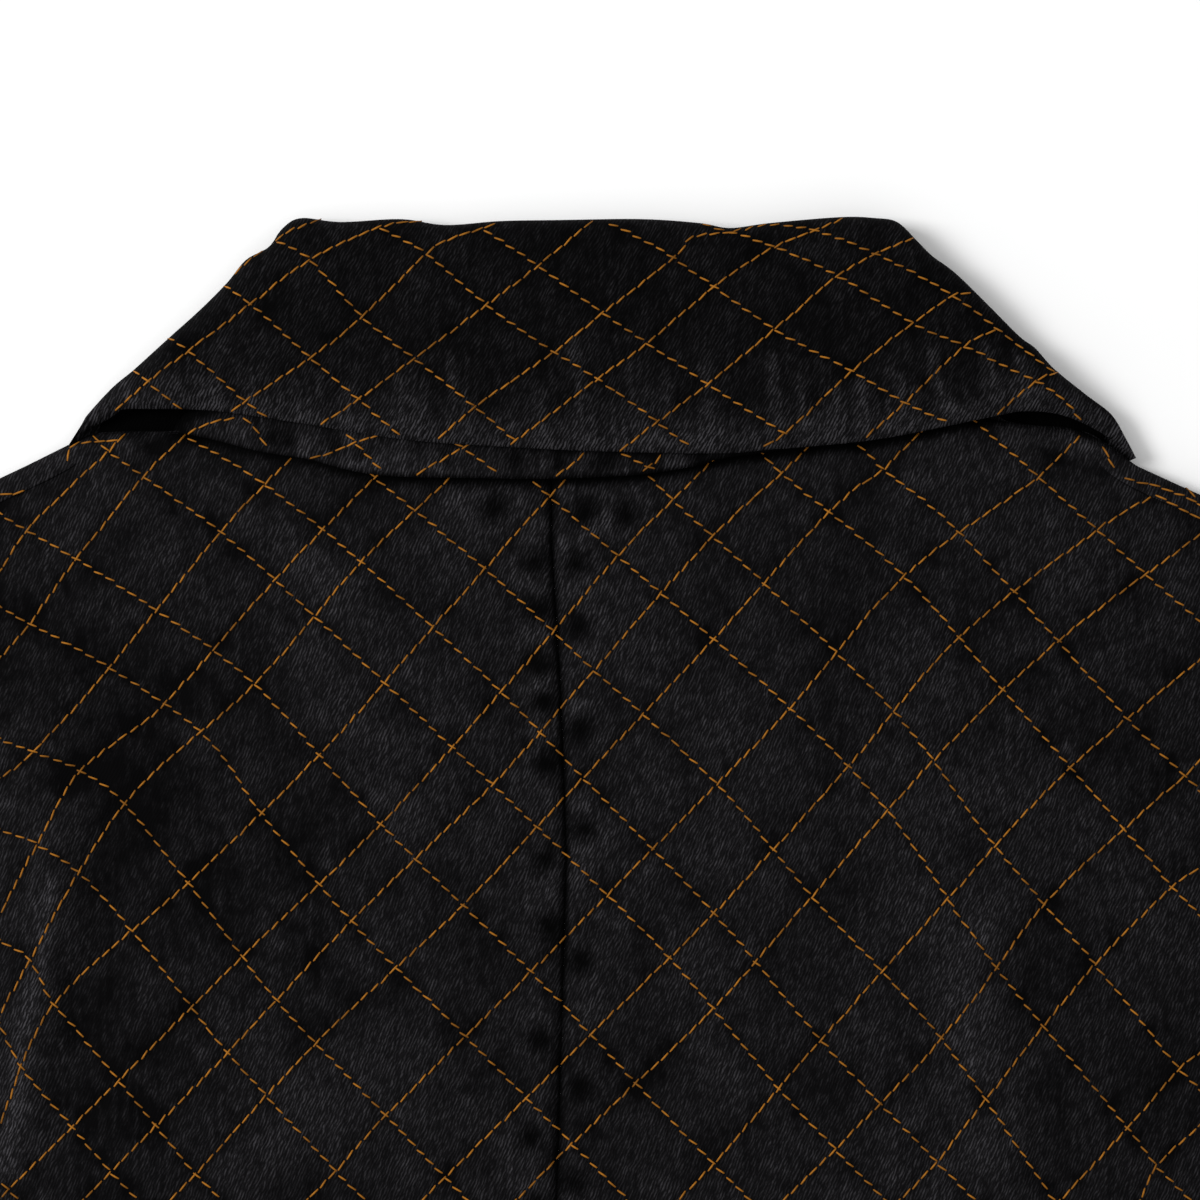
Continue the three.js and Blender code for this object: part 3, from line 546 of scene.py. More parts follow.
def denimMaterial(name, lean, depth=1.0, blotch=0.5):
    # Washed black denim: the wear and painted light, and the painted shade with lesser wear, of each point come
    # with the mesh
    material, tree, shader = newMaterial(name)
    weave = addNode(tree, "ShaderNodeGroup", node_tree=twillWeave)
    weave.inputs["Pitch"].default_value = denimLook["twillPitch"]
    weave.inputs["Lean"].default_value = lean
    wash = addNode(tree, "ShaderNodeGroup", node_tree=unevenWash)
    wear = addNode(tree, "ShaderNodeAttribute", attribute_name="wear").outputs["Fac"]
    shadeAndLessWear = addNode(tree, "ShaderNodeAttribute", attribute_name="shadeAndLessWear").outputs["Fac"]
    rib, yarn = weave.outputs["Rib"], weave.outputs["Yarn"]
    # how far the black is washed out, least under the painted shade
    fade = times(tree, wash.outputs["Blotch"], blotch)
    for source, share in ((wash.outputs["Streak"], denimLook["streakShare"]), (wear, denimLook["wearShare"])):
        fade = plus(tree, fade, times(tree, source, share))
    kept = mathNode(tree, "SUBTRACT", 1.0, times(tree, shadeAndLessWear, denimLook["shadeHidesWash"]))
    fade = mathNode(tree, "MAXIMUM", times(tree, fade, kept), 0.0)
    # the pale yarns of the ribs show through it
    streak = spreadOut(tree, yarn, *denimLook["yarnRange"])
    thread = plus(tree, times(tree, streak, 0.95), 0.06)
    thread = times(tree, rib, thread)
    light = times(tree, thread, mathNode(tree, "POWER", fade, 1.3), clamp=True)
    depths = {"black": depth, "washed": depth, "worn": math.sqrt(depth)}
    tones = {tone: scaled(denimLook[tone], by) for tone, by in depths.items()}
    ground = mixColour(tree, fade, tones["black"], tones["washed"])
    # painted shade: the ground goes toward near-black where the mesh carries shade
    hollow = times(tree, shadeAndLessWear, denimLook["shadeDarkens"])
    ground = mixColour(tree, hollow, ground, denimLook["shadeBlack"])
    colour = mixColour(tree, light, ground, tones["worn"])
    tree.links.new(colour, shader.inputs["Base Color"])
    shader.inputs["Roughness"].default_value = 0.85
    shader.inputs["Specular IOR Level"].default_value = 0.02
    relief = plus(tree, times(tree, rib, 0.7), times(tree, yarn, 0.5))
    addBump(tree, shader, relief, 0.6, 0.00014)
    return material


def threadMaterial(name, colour):
    # Mustard sewing thread with a fine twist and a little unevenness, with painted shade where it dives in
    material, tree, shader = newMaterial(name)
    place = addNode(tree, "ShaderNodeTexCoord").outputs["Object"]
    uneven = noiseNode(tree, place, 160.0, 3.0)
    twist = noiseNode(tree, place, 3200.0, 2.0)
    tipShade = addNode(tree, "ShaderNodeAttribute", attribute_name="tipShade").outputs["Fac"]
    dark = scaled(colour, 0.45)
    tone = mixColour(tree, spreadOut(tree, uneven, 0.36, 0.6), dark, colour)
    tone = mixColour(tree, times(tree, twist, 0.4), tone, dark)
    # painted shade at the stitch's ends
    tone = mixColour(tree, times(tree, tipShade, 0.75), tone, scaled(dark, 0.4))
    tree.links.new(tone, shader.inputs["Base Color"])
    shader.inputs["Roughness"].default_value = 0.6
    shader.inputs["Specular IOR Level"].default_value = 0.1
    addBump(tree, shader, twist, 0.4, 0.0001)
    return material


def hornMaterial(name):
    # Dark horn of the buttons: long pale streaks in a near-black ground, half polished
    material, tree, shader = newMaterial(name)
    place = addNode(tree, "ShaderNodeTexCoord").outputs["Object"]
    longWise = addNode(tree, "ShaderNodeVectorMath", {1: (0.25, 1.6, 1.0)}, {0: place}, operation="MULTIPLY")
    grain = noiseNode(tree, longWise.outputs[0], 420.0, 4.0)
    streaks = spreadOut(tree, grain, 0.45, 0.75)
    tone = mixColour(tree, streaks, (0.010, 0.009, 0.009, 1), (0.045, 0.034, 0.026, 1))
    tree.links.new(tone, shader.inputs["Base Color"])
    rough = addNode(tree, "ShaderNodeMapRange", {"To Min": 0.32, "To Max": 0.55}, {"Value": grain})
    tree.links.new(rough.outputs[0], shader.inputs["Roughness"])
    addBump(tree, shader, grain, 0.3, 0.00008)
    return material


bodyDenim = denimMaterial("bodyDenim", denimLook["bodyLean"])
collarDenim = denimMaterial(
    "collarDenim", denimLook["collarLean"], denimLook["collarDepth"], denimLook["collarBlotch"],
)
# darker denim that stands for the shade under the collar's fall
shadedInsideDenim = denimMaterial("shadedInsideDenim", denimLook["bodyLean"], denimLook["insideShadeDepth"])
mustardThread = threadMaterial("mustardThread", (0.38, 0.145, 0.013, 1))
buttonHorn = hornMaterial("buttonHorn")
for button in ("button_upper", "button_lower"):
    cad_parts[button].material_slots[0].material = buttonHorn
print("Materials ready")

# Outlines that the pieces share; the right shoulder lies a little lower than the left one
armholeRows = [laid["shoulderTip"], (215, -52), (207, -110), (224, -178), laid["underarm"]]
sideRows = [laid["underarm"], (258, -320), (251, -405), (258, -520), (267, laid["hemY"])]
shoulderRows = {
    -1: [
        laid["shoulderTip"], (160, 33), (142, 42), (136.5, 44.4), (130, 45.2), (112, 45.4), (99, 45.8),
        (93, 48), (laid["neckX"], laid["neckY"]),
    ],
    1: [
        laid["shoulderTip"], (198, 13), (165, 26.4), (143.2, 36.4), (136, 42), (128.5, 45.7), (112.5, 47.4),
        (104, 49), (laid["neckX"], laid["neckY"]),
    ],
}
seamRows = [(-13, 90), (-12.8, 14), (-10.4, -25), (-8.9, -68), (-11.5, -160), (-6, -400), (-3, -700)]
armhole = softLine(armholeRows)
sideLine = softLine(sideRows)
shoulderLines = {hand: np.array(rows, float) * (hand, 1) for hand, rows in shoulderRows.items()}
bodyArea = (-272, 272, -656, 68)    # what the back and the fronts stay inside: left, right, bottom, top
bodyEdges = {
    hand: np.vstack([sideLine[::-1], armhole[::-1][1:], np.array(rows[1:], float)])
    for hand, rows in shoulderRows.items()
}


def halfWidth(y, hand):
    # How far the body reaches out to one side at a height
    return np.interp(y, bodyEdges[hand][:, 1], bodyEdges[hand][:, 0])


def widthAt(x, y):
    return np.where(x < 0, halfWidth(y, -1), halfWidth(y, 1))


def seamX(y):
    seam = np.array(seamRows[::-1], float)
    return np.interp(y, seam[:, 1], seam[:, 0])


# Collar's upper edge, the leaf's lower edge, and the lower edge of the cloth that bunches under the leaf
collarTopPixels = [
    (66, 446), (80, 424), (86, 414), (111, 387), (134, 368), (168, 337), (199, 309), (226, 282), (245, 259),
    (268, 246), (281, 228), (300, 217), (340, 221), (400, 218), (445, 224), (500, 220), (560, 219), (640, 218),
    (700, 222), (730, 227), (770, 222), (841, 216), (875, 217), (898, 221), (918, 240), (933, 255), (956, 272),
    (990, 305), (1021, 336), (1036, 347), (1055, 368), (1086, 393), (1113, 414), (1128, 439), (1138, 458),
]
leafPixels = [
    (66, 446), (73, 438), (90, 426), (103, 420), (115, 413), (122, 409), (153, 409), (211, 411), (291, 422),
    (402, 440), (497, 447), (600, 452), (715, 454), (772, 450), (868, 441), (944, 427), (1006, 414),
    (1025, 411), (1059, 414), (1094, 427), (1120, 443), (1138, 458),
]
rollPixels = [
    (170, 431), (186, 434), (213, 440), (244, 448), (272, 454), (306, 459), (343, 469), (369, 474), (402, 477),
    (459, 478), (536, 479), (600, 477), (646, 474), (696, 466), (715, 460), (753, 454), (815, 446), (835, 444),
]
collarTopLine = softLine(fromPixels(collarTopPixels), 6)
leafLine = softLine(fromPixels(leafPixels), 6)
rollLine = softLine(fromPixels(rollPixels), 5)


def leafAt(x):
    return lineAt(leafLine, x)


def coveredFrom(x):
    # Height above which the back lies under the roll or the leaf
    low = lineAt(rollLine, x, left=999.0, right=999.0)
    return np.minimum(low, leafAt(x))


def fromShoulders(x, y):
    return np.minimum(toLine(x, y, shoulderLines[-1]), toLine(x, y, shoulderLines[1]))


# Back: two halves that meet at the centre seam
backCloth = {
    "finestStep": 0.7,      # along the shoulders
    "fineStep": 1.15,
    "coarseStep": 3.1,
    "fineHalf": 165.0,
    "fineBottom": -168.0,
    "edgeRound": 8.0,
    "shoulderRound": 4.2,
    "edgeZ": 2.3,
    "armholeDip": 1.3,
    "seamGap": 0.02,
    "seamDip": 1.3,
    "seamShade": 0.9,
    "besideAt": 5.0,        # the crumpled strips on both sides of the centre seam
    "besideReach": 3.6,
    "besideHigh": 0.5,
    "crumple": 0.35,
    "wavy": 0.35,
    "patchHigh": 0.3,
    "patchWide": 3.2,
    "patchTall": 2.7,
    "betweenLight": 0.45,
    "rimAt": 1.8,
    "rimReach": 0.6,
    "hollowDeep": 0.9,
    "hollowWide": 3.3,
    "hollowTall": 3.4,
    "hollowsApart": 22.0,   # below the view, where the hollows go on plainly
    "hollowsOut": 4.6,
    "folds": [              # from, to, height, reach
        ((-150, -2), (-92, -62), -0.9, 18),
        ((-129, -24), (-98, -45), -1.1, 11),
        ((-137, -36), (-86, -20), -0.7, 12),
        ((-144, -67), (-156, -143), 1.5, 9),
        ((-133, -66), (-143, -150), -1.2, 10),
        ((84, -60), (101, -94), 0.8, 13),
        ((101, -94), (106, -152), 0.9, 9),
        ((116, -90), (121, -150), -1.0, 11),
        ((-60, -70), (30, -130), -0.5, 34),
        ((60, 10), (146, -40), -0.6, 30),
        ((128, 42), (166, 21), -0.8, 5),
        ((-144, 34), (-168, 21), -0.9, 4),
        ((125.3, 43.2), (144, 36.4), 1.1, 2.0),
        ((118.7, 39.5), (136, 33.4), -0.7, 1.6),
        ((108, 44), (120, 42), 0.7, 2.2),
        ((-119.5, 40.8), (-116, 42), -0.8, 3.0),
        ((-138, 40.5), (-124, 42.5), 0.6, 2.2),
    ],
    "worn": [               # lighter and darker areas, of the wash and as painted light and painted shade beside the folds: from, to, wear and light, reach
        ((-124, -30), (-122, -165), -0.19, 16),
        ((-146, -76), (-157.5, -143), 0.8, 2.2),
        ((-158, -148), (-160, -190), 0.4, 3.5),
        ((-76, 2), (-54, -52), 0.22, 13),
        ((-105, 33), (-62, -6), 0.2, 6),
        ((28, -112), (40, -134), 0.3, 7),
        ((-80, -132), (-55, -128), 0.15, 9),
        ((94, -112), (104, -142), 0.18, 9),
        ((58, -42), (66, -106), -0.14, 12),
        ((110, 32), (132, 22), 0.22, 6),
        ((-150, 10), (-128, 28), 0.2, 6),
        ((148, -120), (152, -170), -0.25, 10),
        ((125.3, 43.2), (144, 36.4), 0.5, 1.8),
        ((118.7, 39.5), (136, 33.4), -0.2, 1.6),
        ((-119.5, 40.8), (-116, 42), -0.25, 3.0),
    ],
    "coverDip": 1.1,
    "coverShade": 3.2,
    "wear": {
        "plain": 0.14, "puff": 0.16, "gathers": 0.35, "beside": 0.5, "rim": 0.3, "patch": 0.75, "folds": 0.25,
        "left": 0.1,
    },
    "stitchShade": (0.25, 0.9),
}
seamHollowPixels = {
    -1: [
        (535, 563), (540, 609), (540, 665), (543, 702), (548, 764),
        (545, 860), (549, 927), (541, 1041), (532, 1138),
    ],
    1: [(575, 563), (577, 626), (580, 729), (585, 830), (581, 962), (580, 1089)],
}
rollHollowPixels = [(495, 507), (587, 511), (627, 514)]
lightPatchPixels = [
    (539, 687), (581, 708), (583, 588), (524, 580), (543, 529), (588, 530), (585, 805), (587, 655), (530, 640),
    (460, 503), (604, 522), (556, 800), (590, 880), (535, 905), (590, 1010),
]


def allHollows():
    # Middle of each dark hollow beside the centre seam, read off the view and then plainly repeated
    spots = list(fromPixels(rollHollowPixels))
    for hand, pixels in seamHollowPixels.items():
        read = fromPixels(pixels)
        spots += list(read)
        apart = backCloth["hollowsApart"]
        ys = np.arange(read[-1][1] - apart, laid["hemY"] + 10, -apart)
        drift = softNoise(ys / 13, ys * 0 + hand, 45)
        spots += list(np.stack([seamX(ys) + hand * (backCloth["hollowsOut"] + drift), ys + 5 * drift], axis=1))
    return spots


def allLights():
    # Middle and strength of each light patch: those read off the view, and one between every two hollows
    lights = [(x, y, 1.0) for x, y in fromPixels(lightPatchPixels)]
    for hand, pixels in seamHollowPixels.items():
        read = fromPixels(pixels)
        lights += [(x + hand * 0.8, y, backCloth["betweenLight"]) for x, y in (read[:-1] + read[1:]) / 2]
    return lights


seamHollows = allHollows()
lightPatches = allLights()
backBase = solidHeights(("back_left", "back_right"), True, bodyArea, 6.0, 14.0)


def alongFolds(x, y, rows):
    # Soft ridges and troughs, or lighter and darker areas, each along a straight line
    total = np.zeros(np.shape(x))
    for start, end, most, reach in rows:
        total += most * bell(toLine(x, y, np.array([start, end], float)) / reach)
    return total


def seamMarks(x, y):
    # Dark hollows, the paler rim round each and the light patches between them
    hollow, rim, patch = (np.zeros(np.shape(x)) for _ in range(3))
    for spotX, spotY in seamHollows:
        away = np.hypot((x - spotX) / backCloth["hollowWide"], (y - spotY) / backCloth["hollowTall"])
        hollow += bell(away)
        rim += bell((away - backCloth["rimAt"]) / backCloth["rimReach"])
    for spotX, spotY, share in lightPatches:
        patch += share * bell((x - spotX) / backCloth["patchWide"]) * bell((y - spotY) / backCloth["patchTall"])
    return hollow, rim, patch


def backEdges(x, y, z):
    # The sides and shoulders round over to a low edge, and the cloth dips a little where a sleeve begins
    low = backCloth["edgeZ"]
    away = widthAt(x, y) - np.abs(x)
    z = low + (z - low) * roundOff(np.where(y < underarmY, away, 99.0), backCloth["edgeRound"])
    z = low + (z - low) * roundOff(fromShoulders(x, y), backCloth["shoulderRound"])
    atSleeve = np.where((y >= underarmY) & (y < tipY), away, 99.0)
    return z - backCloth["armholeDip"] * bell(np.maximum(atSleeve, 0) / 3.0)


def backSurface(x, y):
    # Top of the back's cloth, with the wear and painted light, and the painted shade with lesser wear, of each
    # point
    down, up = gapsTo(bodyLines, x, y)
    relief, puff, gathers = quilting(x, y, down, up, bodyQuilt)
    folds = alongFolds(x, y, backCloth["folds"])
    near = np.abs(x - seamX(y))
    beside = bell((near - backCloth["besideAt"]) / backCloth["besideReach"])
    hollow, rim, patch = seamMarks(x, y)
    crumple = softNoise(x / 2.6, y / 9.5, 41)
    relief = relief + beside * (backCloth["crumple"] * crumple + backCloth["besideHigh"])
    relief = relief - backCloth["hollowDeep"] * hollow + backCloth["patchHigh"] * patch
    relief = relief - backCloth["seamDip"] * bell(near / 1.5)
    relief = relief + folds + backCloth["wavy"] * softNoise(x / 22, y / 30, 43)
    covered = y - coveredFrom(x)
    z = backBase(x, y - np.maximum(covered + 5, 0)) + laid["cloth"] + relief
    z = backEdges(x, y, z - backCloth["coverDip"] * ease((covered + 4) / 4))
    share = backCloth["wear"]
    stripes = 0.45 + 0.55 * np.clip(softNoise((x - y * 0.4) / 0.9, y / 5, 47) + 0.3, 0, 1)
    wear = share["plain"] + share["puff"] * puff + share["gathers"] * gathers
    wear = wear + share["beside"] * beside * np.clip(crumple, -0.2, 1)
    wear = wear + (share["rim"] * rim + share["patch"] * patch) * stripes
    wear = wear - share["left"] * ease((-30 - x) / 80)      # the left half is a little darker
    # painted light on the fold ridges and painted shade in their troughs, beside the wash's own lighter and
    # darker areas
    wear = wear + alongFolds(x, y, backCloth["worn"]) + share["folds"] * np.clip(folds, -0.8, 1.2)
    # painted shade along the stitch lines, in the centre seam, in the hollows beside it and in the crease under
    # the roll and the leaf
    shadeAndLessWear = stitchShade(down, up, *backCloth["stitchShade"])
    shadeAndLessWear = shadeAndLessWear + backCloth["seamShade"] * bell(near / 1.1) + 0.95 * hollow
    shadeAndLessWear = shadeAndLessWear + 1.1 * ease((covered + backCloth["coverShade"]) / backCloth["coverShade"])
    return z, *limited(wear, shadeAndLessWear)


def backHalf(hand):
    # One half of the back as a graded grid from the centre seam to its edge
    fine, wide, rim = backCloth["fineHalf"], underarmX, backCloth["edgeRound"]
    fineStep, coarseStep = backCloth["fineStep"], backCloth["coarseStep"]
    across = gradedSteps([(0, 1), (fine, fineStep), (wide - rim, coarseStep)])
    across = np.concatenate([across, wide - rim + rim * np.sin(np.linspace(0, math.pi / 2, 7)[1:])])
    ys = gradedSteps([
        (laid["hemY"], 1), (backCloth["fineBottom"], coarseStep), (38, fineStep), (52, backCloth["finestStep"]),
        (laid["neckY"], fineStep),
    ])
    gridY = np.repeat(ys[:, None], len(across), axis=1)
    seam = seamX(ys) * hand + backCloth["seamGap"]
    edge = halfWidth(ys, hand)
    inner = np.minimum(fine, (edge - seam) * 0.9)
    spots = []
    for row in range(len(ys)):
        total = edge[row] - seam[row]
        near = across * inner[row] / fine
        far = inner[row] + (across - fine) / (wide - fine) * (total - inner[row])
        spots.append(seam[row] + np.where(across <= fine, near, far))
    gridX = np.array(spots) * hand
    points, faces, tones, edges = clothGrid(backSurface, gridX, gridY, hand < 0)
    # the hem, the seam and the side turn under
    for line, inward, drop, reach in (
        (edges["low"], (0, 1), 1.9, 7.0),
        (edges["first"][::-1], (hand, 0), 2.2, 7.0),
        (edges["last"], (-hand, 0), 0.8, 1.2),
    ):
        points, faces, tones = turnUnder(points, faces, tones, line, inward, hand < 0, drop, reach)
    piece = makePiece(f"back_cloth_{sideName[hand]}", points, faces, bodyDenim, tones)
    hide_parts("back_left" if hand < 0 else "back_right")
    return piece


def addRing(points, faces, tones, edge, previous, ring, flip=False):
    # One more row of points beyond the last one, with its faces and the tones of the edge
    start = len(points)
    points = np.vstack([points, ring])
    for tone in tones:
        tones[tone] = np.concatenate([tones[tone], tones[tone][edge]])
    for i in range(len(edge) - 1):
        face = (previous[i], start + i, start + i + 1, previous[i + 1])
        faces.append(face[::-1] if flip else face)
    return points, [start + i for i in range(len(edge))]


def turnUnder(points, faces, tones, edge, inward, flip, drop, reach):
    # Cloth that goes round an edge and back under itself; reach may differ from point to point
    base, previous = points[edge], list(edge)
    for step, share in ((0.15, 0.45), (0.35, 0.85), (0.6, 1.0), (1000.0, 1.0)):
        ring = base.copy()
        ring[:, 0] += inward[0] * np.minimum(step, reach)
        ring[:, 1] += inward[1] * np.minimum(step, reach)
        ring[:, 2] -= drop * share
        points, previous = addRing(points, faces, tones, edge, previous, ring, flip)
    return points, faces, tones


backPieces = [backHalf(-1), backHalf(1)]
print("Back ready")

# Collar: its fall from the roll at the top to the leaf's lower edge
collarCloth = {
    "step": 0.95,
    "rows": 68,
    "turnReach": 9.0,
    "rollDepth": 5.0,
    "leafThick": 3.4,
    "leafRound": 1.5,
    "rollMiddleZ": 6.0,
    "rollLowZ": 0.25,
    "openings": [
        {"at": (-119, 51), "rise": 1.6, "reach": 11},
        {"at": (121, 50), "rise": 1.6, "reach": 11},
    ],
    "ridgePixels": [
        [(398, 350), (404, 425)], [(449, 365), (470, 432)], [(322, 380), (306, 418)], [(572, 350), (592, 445)],
        [(632, 365), (652, 447)], [(664, 385), (676, 445)], [(770, 360), (782, 445)], [(860, 380), (866, 436)],
        [(930, 350), (948, 420)], [(225, 350), (214, 405)], [(262, 375), (250, 412)], [(352, 392), (350, 428)],
        [(418, 380), (424, 436)], [(540, 400), (546, 446)], [(706, 372), (714, 448)], [(800, 378), (806, 440)],
        [(835, 392), (838, 438)], [(896, 372), (906, 428)], [(985, 352), (1000, 410)],
        [(1020, 360), (1040, 408)],
    ],
    "ridgeReach": 1.9,
    "ridgeHigh": 0.5,
    "rippleHigh": 0.55,
    "wavy": 0.25,
    "tipsFrom": 100.0,      # beyond this the leaf comes down to the shoulders
    "tipsLong": 25.0,
    "wear": {
        "plain": 0.02, "puff": 0.1, "gathers": 0.2, "streak": 0.9, "ripple": 0.2, "leaf": 1.1, "top": 0.1,
        "edge": 0.6, "ridges": 0.95,
    },
    "stitchShade": (0.25, 0.9),
    "leafLow": 12.2,        # the leaf's edge stands at least this high, but for its ends
}
collarBase = solidHeights(("upper_collar",), False, (-142, 142, 36, 104), 3.0, 9.0)


def collarSurface(x, y):
    # Top of the collar's fall, with the wear and painted light, and the painted shade with lesser wear, of each
    # point
    down, up = gapsTo(collarLines, x, y)
    relief, puff, gathers = quilting(x, y, down, up, collarQuilt)
    topGap = toLine(x, y, collarTopLine)
    leafGap = toLine(x, y, leafLine)
    ripple = softNoise(x / 5.5, y / 26, 51) * np.exp(-leafGap / 12)
    relief = relief * np.clip(leafGap / 3, 0.2, 1) + collarCloth["rippleHigh"] * ripple
    relief = relief + collarCloth["wavy"] * softNoise(x / 18, y / 14, 53)
    for opening in collarCloth["openings"]:
        away = np.hypot(x - opening["at"][0], y - opening["at"][1]) / opening["reach"]
        relief = relief + opening["rise"] * bell(away)
    ridges = sum(
        bell(toLine(x, y, fromPixels(ends)) / collarCloth["ridgeReach"]) for ends in collarCloth["ridgePixels"]
    )
    relief = relief + collarCloth["ridgeHigh"] * ridges
    tips = ease((np.abs(x) - collarCloth["tipsFrom"]) / collarCloth["tipsLong"])
    lowest = collarCloth["leafLow"] * (1 - tips)
    z = np.logaddexp(2 * (collarBase(x, y) - 0.3), 2 * lowest) / 2 + relief     # the higher of both, blended
    middle = collarCloth["rollMiddleZ"]
    z = middle + (z - middle) * roundOff(topGap, collarCloth["rollDepth"])
    z = z - collarCloth["leafThick"] / 2 * (1 - roundOff(leafGap, collarCloth["leafRound"])) * (topGap > 1)
    share = collarCloth["wear"]
    streak = np.clip(softNoise(x / 1.7, y / 16, 55), 0, 1) * bell((leafGap - 4) / 6)
    wear = share["plain"] + share["puff"] * puff + share["gathers"] * gathers
    wear = wear + share["streak"] * streak + share["ripple"] * np.clip(ripple, 0, 1)
    wear = wear + share["leaf"] * np.exp(-(leafGap / 6.5) ** 1.6) + share["top"] * bell(topGap / 3)
    wear = wear + share["edge"] * bell(leafGap / 0.7)
    wear = wear + share["ridges"] * ridges * np.clip(softNoise(x / 0.9, y / 9, 57) + 0.6, 0, 1)
    return z, *limited(wear, stitchShade(down, up, *collarCloth["stitchShade"]))


def buildCollar():
    left, right = collarTopLine[0, 0], collarTopLine[-1, 0]
    xs = np.linspace(left + 0.05, right - 0.05, round((right - left) / collarCloth["step"]))
    leafY = leafAt(xs)
    topY = np.maximum(lineAt(collarTopLine, xs), leafY + 0.05)
    rows = collarCloth["rows"]
    share = np.linspace(0, 1, rows)
    share = 0.5 - 0.5 * np.cos(share * math.pi) * (0.62 + 0.38 * np.abs(np.cos(share * math.pi)))
    gridY = leafY[None, :] + (topY - leafY)[None, :] * share[:, None]
    gridX = np.repeat(xs[None, :], rows, axis=0)
    points, faces, tones, edges = clothGrid(collarSurface, gridX, gridY)
    drop, reach = collarCloth["leafThick"] / 2, np.minimum(collarCloth["turnReach"], (topY - leafY) * 0.8)
    points, faces, tones = turnUnder(points, faces, tones, edges["low"], (0, 1), False, drop, reach)
    points, faces, tones = rollUnder(points, faces, tones, edges["high"][::-1])
    piece = makePiece("collar_cloth", points, faces, collarDenim, tones)
    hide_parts("upper_collar")
    return piece


def rollUnder(points, faces, tones, edge):
    # The roll goes on round the edge and in under the collar
    base = points[edge]
    ahead = np.roll(base, -1, axis=0) - np.roll(base, 1, axis=0)
    ahead[0], ahead[-1] = base[1] - base[0], base[-1] - base[-2]
    length = np.maximum(np.hypot(ahead[:, 0], ahead[:, 1]), 1e-6)
    inX, inY = -ahead[:, 1] / length, ahead[:, 0] / length
    previous = list(edge)
    depth, middle, low = collarCloth["rollDepth"], collarCloth["rollMiddleZ"], collarCloth["rollLowZ"]
    for angle in np.linspace(15, 90, 6):
        turn = math.radians(angle)
        ring = base.copy()
        ring[:, 0] += inX * depth * (1 - math.cos(turn))
        ring[:, 1] += inY * depth * (1 - math.cos(turn))
        ring[:, 2] = middle - (middle - low) * math.sin(turn)
        points, previous = addRing(points, faces, tones, edge, previous, ring)
    return points, faces, tones


collarPiece = buildCollar()

# Under collar: a plain thin layer that follows the fall
underCollar = {
    "half": 136.0,
    "columns": 140,
    "rows": 24,
    "insetLeaf": 3.0,
    "insetTop": 4.0,
    "below": 3.1,           # under the collar's own surface
    "lowest": 2.2,
    "wall": 0.5,
}


def buildUnderCollar():
    # Underside of the fall, seen only where the leaf stands off the shoulders
    xs = np.linspace(-underCollar["half"], underCollar["half"], underCollar["columns"])
    leafY = leafAt(xs) + underCollar["insetLeaf"]
    topY = np.maximum(lineAt(collarTopLine, xs) - underCollar["insetTop"], leafY + 0.5)
    rows = underCollar["rows"]
    share = np.linspace(0, 1, rows)[:, None]
    gridX = np.repeat(xs[None, :], rows, axis=0)
    gridY = leafY[None, :] * (1 - share) + topY[None, :] * share
    z, wear, shadeAndLessWear = collarSurface(gridX, gridY)
    z = np.maximum(z - underCollar["below"], underCollar["lowest"])
    points, tones = gridPoints(gridX, gridY, z), tonesOf(wear * 0.3, shadeAndLessWear)
    piece = makePiece("under_collar_cloth", points, gridFaces(rows, len(xs), flip=True), collarDenim, tones)
    thicken(piece, underCollar["wall"], -1)
    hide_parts("under_collar")
    return piece


underCollarPiece = buildUnderCollar()


def flatPiece(name, outline, low, wall, material, node, shadeAndLessWear=0.0):
    # A flat cloth layer cut to an outline, with softened edges
    count = len(outline)
    points = np.column_stack([outline, np.full(count, low)])
    tones = {"wear": np.full(count, 0.3), "shadeAndLessWear": np.full(count, shadeAndLessWear)}
    piece = makePiece(name, points, [tuple(range(count))], material, tones, smooth=False)
    ahead = np.roll(outline, -1, axis=0)
    facesUp = np.sum(outline[:, 0] * ahead[:, 1] - ahead[:, 0] * outline[:, 1]) > 0
    thicken(piece, wall, 1 if facesUp else -1)
    soften = piece.modifiers.new("softEdge", "BEVEL")
    soften.width, soften.segments = 0.0004, 2
    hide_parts(node)
    return piece


# Stand and front ends of the collar, the lowest layer under its fall
collarStand = {
    "low": 0.1,
    "wall": 1.5,
    "inset": 2.5,
    "half": [(138, 36), (136, 30), (118, 4), (95, -13.6), (58.8, 0.4), (73.6, 58), (73.6, 66.4)],
}


def buildCollarStand():
    top = collarTopLine[(np.abs(collarTopLine[:, 0]) < 137) & (collarTopLine[:, 1] > 47)]
    top = top * (0.982, 1) - (0, collarStand["inset"])
    right = np.array(collarStand["half"], float)
    left = right[::-1] * (-1, 1)
    outline = np.vstack([top, right, left])
    low, wall = collarStand["low"], collarStand["wall"]
    # painted shade all over the stand, for the shade under the collar's fall
    return flatPiece("collar_stand", outline, low, wall, shadedInsideDenim, "upper_collar", 1.0), outline


collarStandPiece, standOutline = buildCollarStand()
print("Collar ready")

